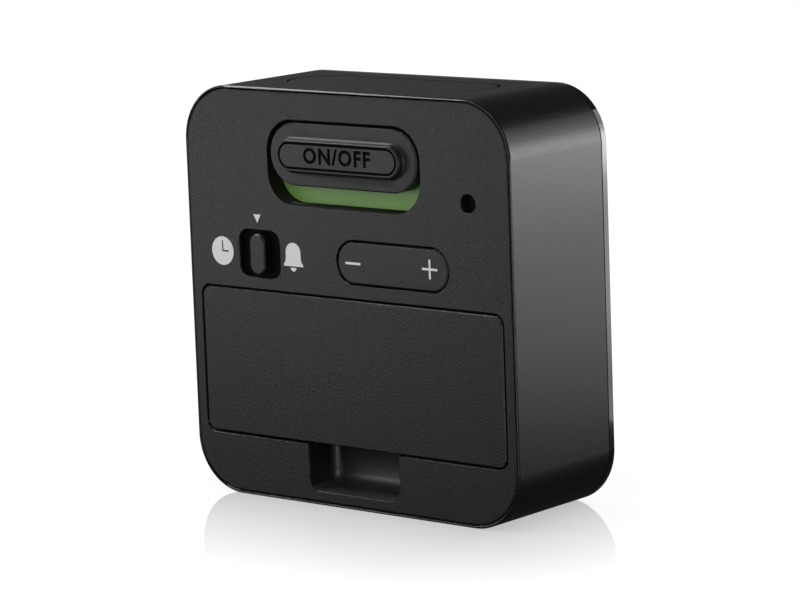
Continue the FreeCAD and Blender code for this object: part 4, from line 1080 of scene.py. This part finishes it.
@dataclass(frozen=True)
class Card:
    """A glowing card that stands beside the clock and faces it, and that only gloss shows.

    Its levels hold height in metres and radiance, from bottom to top.
    """

    name: str
    foot: Point
    width: float
    levels: tuple[Point, ...]
    fade: float = 0.35

    def build(self) -> None:
        """Stand the card up."""
        low, high = self.levels[0][0], self.levels[-1][0]
        right, back = self.foot
        bpy.ops.object.select_all(action="DESELECT")
        bpy.ops.mesh.primitive_plane_add(size=1.0, location=(right, back, (low + high) / 2),
                                         rotation=(math.pi / 2, 0.0, math.atan2(right, -back)))
        card = bpy.context.object
        card.name = self.name
        card.scale = (self.width, high - low, 1.0)
        bpy.ops.object.transform_apply(location=True, rotation=True, scale=True)
        card.data.materials.append(self.material())
        card.visible_camera = False
        card.visible_diffuse = False
        card.visible_transmission = False
        card.visible_volume_scatter = False
        card.visible_shadow = False

    def material(self) -> bpy.types.Material:
        """Make the glow, which fades towards both sides and lets singular rays through.

        Returns:
            The material.
        """
        low, high = self.levels[0][0], self.levels[-1][0]
        peak = max(level for _, level in self.levels)
        material, tree, shader = shade_tree(self.name)
        tree.nodes.remove(shader)
        steps = tree.nodes.new("ShaderNodeValToRGB")
        while len(steps.color_ramp.elements) < len(self.levels):
            steps.color_ramp.elements.new(0.5)
        for element, (height, level) in zip(steps.color_ramp.elements, self.levels):
            element.position = (height - low) / (high - low)
            element.color = (level / peak, level / peak, level / peak, 1)
        share = ramp(tree, axis_of(tree, "Z"), 0.0, 1.0, low, high)
        tree.links.new(share, steps.inputs["Fac"])
        glow = tree.nodes.new("ShaderNodeEmission")
        tree.links.new(steps.outputs["Color"], glow.inputs["Color"])
        right, back = self.foot
        reach = math.hypot(right, back)
        place = tree.nodes.new("ShaderNodeTexCoord")
        across = tree.nodes.new("ShaderNodeVectorMath")
        across.operation = "DOT_PRODUCT"
        across.inputs[1].default_value = (-back / reach, right / reach, 0.0)
        tree.links.new(place.outputs["Object"], across.inputs[0])
        aside = maths(tree, "ABSOLUTE", across.outputs["Value"])
        half = self.width / 2
        strength = ramp(tree, aside, peak, 0.0, half * (1 - self.fade), half)
        tree.links.new(strength, glow.inputs["Strength"])
        path = tree.nodes.new("ShaderNodeLightPath")
        gone = tree.nodes.new("ShaderNodeBsdfTransparent")
        show_mix(tree, "Material Output", path.outputs["Is Singular Ray"],
                 glow.outputs["Emission"], gone.outputs["BSDF"])
        return material


CARDS = (
    Card("side_card", (-0.098, -0.0755), 0.12,
         ((-0.0048, 1.3), (0.003, 0.95), (0.009, 1.25), (0.0185, 1.8), (0.03, 1.8),
          (0.037, 1.75), (0.042, 2.4), (0.047, 5.1), (0.074, 5.6), (0.08, 3.0), (0.09, 1.4),
          (0.125, 1.3))),
    Card("front_card", (-0.01, -0.25), 0.38,
         ((-0.05, 0.04), (-0.034, 0.1), (-0.0185, 0.2), (-0.0075, 0.3), (0.009, 0.4),
          (0.017, 0.75), (0.08, 0.75), (0.1, 0.1))),
    Card("rear_card", (0.127, 0.164), 0.2,
         ((-0.055, 0.05), (-0.029, 0.15), (0.001, 0.8), (0.036, 3.6), (0.06, 5.0))),
    Card("edge_card", (-0.16, 0.134), 0.09, ((-0.03, 1.5), (0.0, 4.0), (0.08, 5.0))),
    Card("upper_card", (0.19, 0.049), 0.2, ((0.18, 10.0), (0.38, 10.0))),
    Card("far_card", (0.209, -0.249), 0.5,
         ((-0.05, 0.02), (0.07, 0.03), (0.085, 0.15), (0.22, 0.08))),
)


@dataclass
class Studio:
    """White table, white surroundings, lamp, reflected cards and camera."""

    azimuth: float = 220.014
    elevation: float = 9.653
    roll: float = -2.071
    distance: float = 0.615366
    focal_pixels: float = 3673.244
    target: tuple[float, float, float] = (-0.000443, 0.0, 0.033588)
    picture_width: float = 800.0
    sensor: float = 36.0
    sight: tuple[float, float] = (0.01, 20.0)
    lamp_place: tuple[float, float, float] = (0.25, 0.35, 0.8)
    lamp_aim: tuple[float, float, float] = (0.0, 0.0, 0.03)
    lamp_size: float = 0.5
    lamp_power: float = 1.2
    table_size: float = 6.0
    table_colour: Colour = (0.25, 0.25, 0.25)
    table_glow: float = 0.8
    base_x: float = 0.0254
    base_y: float = 0.013
    mirror_share: float = 1.15
    mirror_reach: float = 0.043
    mirror_index: float = 2.0
    room_glow: tuple[float, float] = (0.25, 0.03)
    room_heights: tuple[float, float] = (0.02, 0.25)

    def place_camera(self) -> None:
        """Set the camera where the photograph was taken from."""
        azimuth, elevation, roll = map(math.radians, (self.azimuth, self.elevation, self.roll))
        back = Vector((math.sin(azimuth) * math.cos(elevation),
                       -math.cos(azimuth) * math.cos(elevation), math.sin(elevation)))
        right = Vector((0, 0, 1)).cross(back).normalized()
        over = back.cross(right)
        right_rolled = right * math.cos(roll) + over * math.sin(roll)
        up_rolled = over * math.cos(roll) - right * math.sin(roll)
        place = Vector(self.target) + back * self.distance
        data = bpy.data.cameras.new("camera")
        data.sensor_width = self.sensor
        data.lens = self.focal_pixels / self.picture_width * self.sensor
        data.clip_start, data.clip_end = self.sight
        camera = bpy.data.objects.new("camera", data)
        bpy.context.scene.collection.objects.link(camera)
        turn = Matrix((right_rolled, up_rolled, back)).transposed().to_4x4()
        camera.matrix_world = Matrix.Translation(place) @ turn
        bpy.context.scene.camera = camera

    def add_lamp(self) -> None:
        """Hang one square soft box that gloss doesn't show."""
        data = bpy.data.lights.new("overhead", "AREA")
        data.shape = "RECTANGLE"
        data.size = data.size_y = self.lamp_size
        data.energy = self.lamp_power
        lamp = bpy.data.objects.new("overhead", data)
        bpy.context.scene.collection.objects.link(lamp)
        lamp.visible_glossy = False
        direction = Vector(self.lamp_aim) - Vector(self.lamp_place)
        turn = direction.to_track_quat("-Z", "Y").to_matrix().to_4x4()
        lamp.matrix_world = Matrix.Translation(self.lamp_place) @ turn

    def lay_floor(self) -> None:
        """Lay a white table that keeps the shadow and a fading reflection of the clock."""
        bpy.ops.object.select_all(action="DESELECT")
        bpy.ops.mesh.primitive_plane_add(size=self.table_size, location=(0, 0, 0))
        floor = bpy.context.object
        floor.name = "floor"
        material, tree, shader = shade_tree("floor")
        feed(tree, self.table_colour, shader.inputs["Base Color"])
        feed(tree, 1.0, shader.inputs["Roughness"])
        feed(tree, 0.0, shader.inputs["Specular IOR Level"])
        path = tree.nodes.new("ShaderNodeLightPath")
        glow = tree.nodes.new("ShaderNodeEmission")
        lift = ramp(tree, path.outputs["Is Camera Ray"], 0.0, self.table_glow, 0.0, 1.0)
        tree.links.new(lift, glow.inputs["Strength"])
        white = tree.nodes.new("ShaderNodeAddShader")
        tree.links.new(shader.outputs["BSDF"], white.inputs[0])
        tree.links.new(glow.outputs["Emission"], white.inputs[1])
        mirror = tree.nodes.new("ShaderNodeBsdfAnisotropic")
        feed(tree, 0.0, mirror.inputs["Roughness"])
        feed(tree, (1.0, 1.0, 1.0), mirror.inputs["Color"])
        show_mix(tree, "Material Output", self.reflection(tree), white.outputs["Shader"],
                 mirror.outputs["BSDF"])
        floor.data.materials.append(material)
        floor.visible_glossy = False

    def reflection(self, tree: bpy.types.NodeTree) -> bpy.types.NodeSocket:
        """Find how strongly the table mirrors: less away from the clock, more at a flat angle.

        Args:
            tree: The table's node tree.

        Returns:
            The mirror's share.
        """
        past = tree.nodes.new("ShaderNodeCombineXYZ")
        for axis, half in (("X", self.base_x), ("Y", self.base_y)):
            offset = maths(tree, "SUBTRACT", maths(tree, "ABSOLUTE", axis_of(tree, axis)), half)
            tree.links.new(maths(tree, "MAXIMUM", offset, 0.0), past.inputs[axis])
        away = tree.nodes.new("ShaderNodeVectorMath")
        away.operation = "LENGTH"
        tree.links.new(past.outputs["Vector"], away.inputs[0])
        share = ramp(tree, away.outputs["Value"], self.mirror_share, 0.0, 0.0, self.mirror_reach)
        grazing = tree.nodes.new("ShaderNodeFresnel")
        feed(tree, self.mirror_index, grazing.inputs["IOR"])
        return maths(tree, "MULTIPLY", share, grazing.outputs["Fac"])

    def whiten(self) -> None:
        """Make the surroundings white, and dim where blurred gloss reflects them."""
        world = bpy.data.worlds.new("surroundings")
        bpy.context.scene.world = world
        world.use_nodes = True
        tree = world.node_tree
        white = tree.nodes["Background"]
        feed(tree, (1.0, 1.0, 1.0), white.inputs["Color"])
        feed(tree, 1.0, white.inputs["Strength"])
        height = maths(tree, "ABSOLUTE", axis_of(tree, "Z", "Generated"))
        room = tree.nodes.new("ShaderNodeBackground")
        feed(tree, ramp(tree, height, *self.room_glow, *self.room_heights), room.inputs["Color"])
        feed(tree, 1.0, room.inputs["Strength"])
        path = tree.nodes.new("ShaderNodeLightPath")
        blurred = maths(tree, "SUBTRACT", path.outputs["Is Glossy Ray"],
                        path.outputs["Is Singular Ray"], clamp=True)
        show_mix(tree, "World Output", blurred, white.outputs["Background"],
                 room.outputs["Background"])

    def build(self) -> None:
        """Set up everything around the clock."""
        self.place_camera()
        self.lay_floor()
        self.whiten()
        self.add_lamp()
        for card in CARDS:
            card.build()
        bpy.context.scene.view_settings.view_transform = "Standard"


def main() -> None:
    """Build the scene in order and report each piece."""
    logging.basicConfig(level=logging.INFO, format="%(message)s")
    shop = Workshop()
    cad = CadPieces(shop)
    cad.build()
    log.info("solids dressed")
    AlarmControl(shop, cad).build()
    log.info("alarm slider lettered")
    RearMarks(shop).build()
    log.info("rear marks printed")
    Display(shop).build()
    log.info("display drawn")
    Studio().build()


if __name__ == "__main__":
    main()
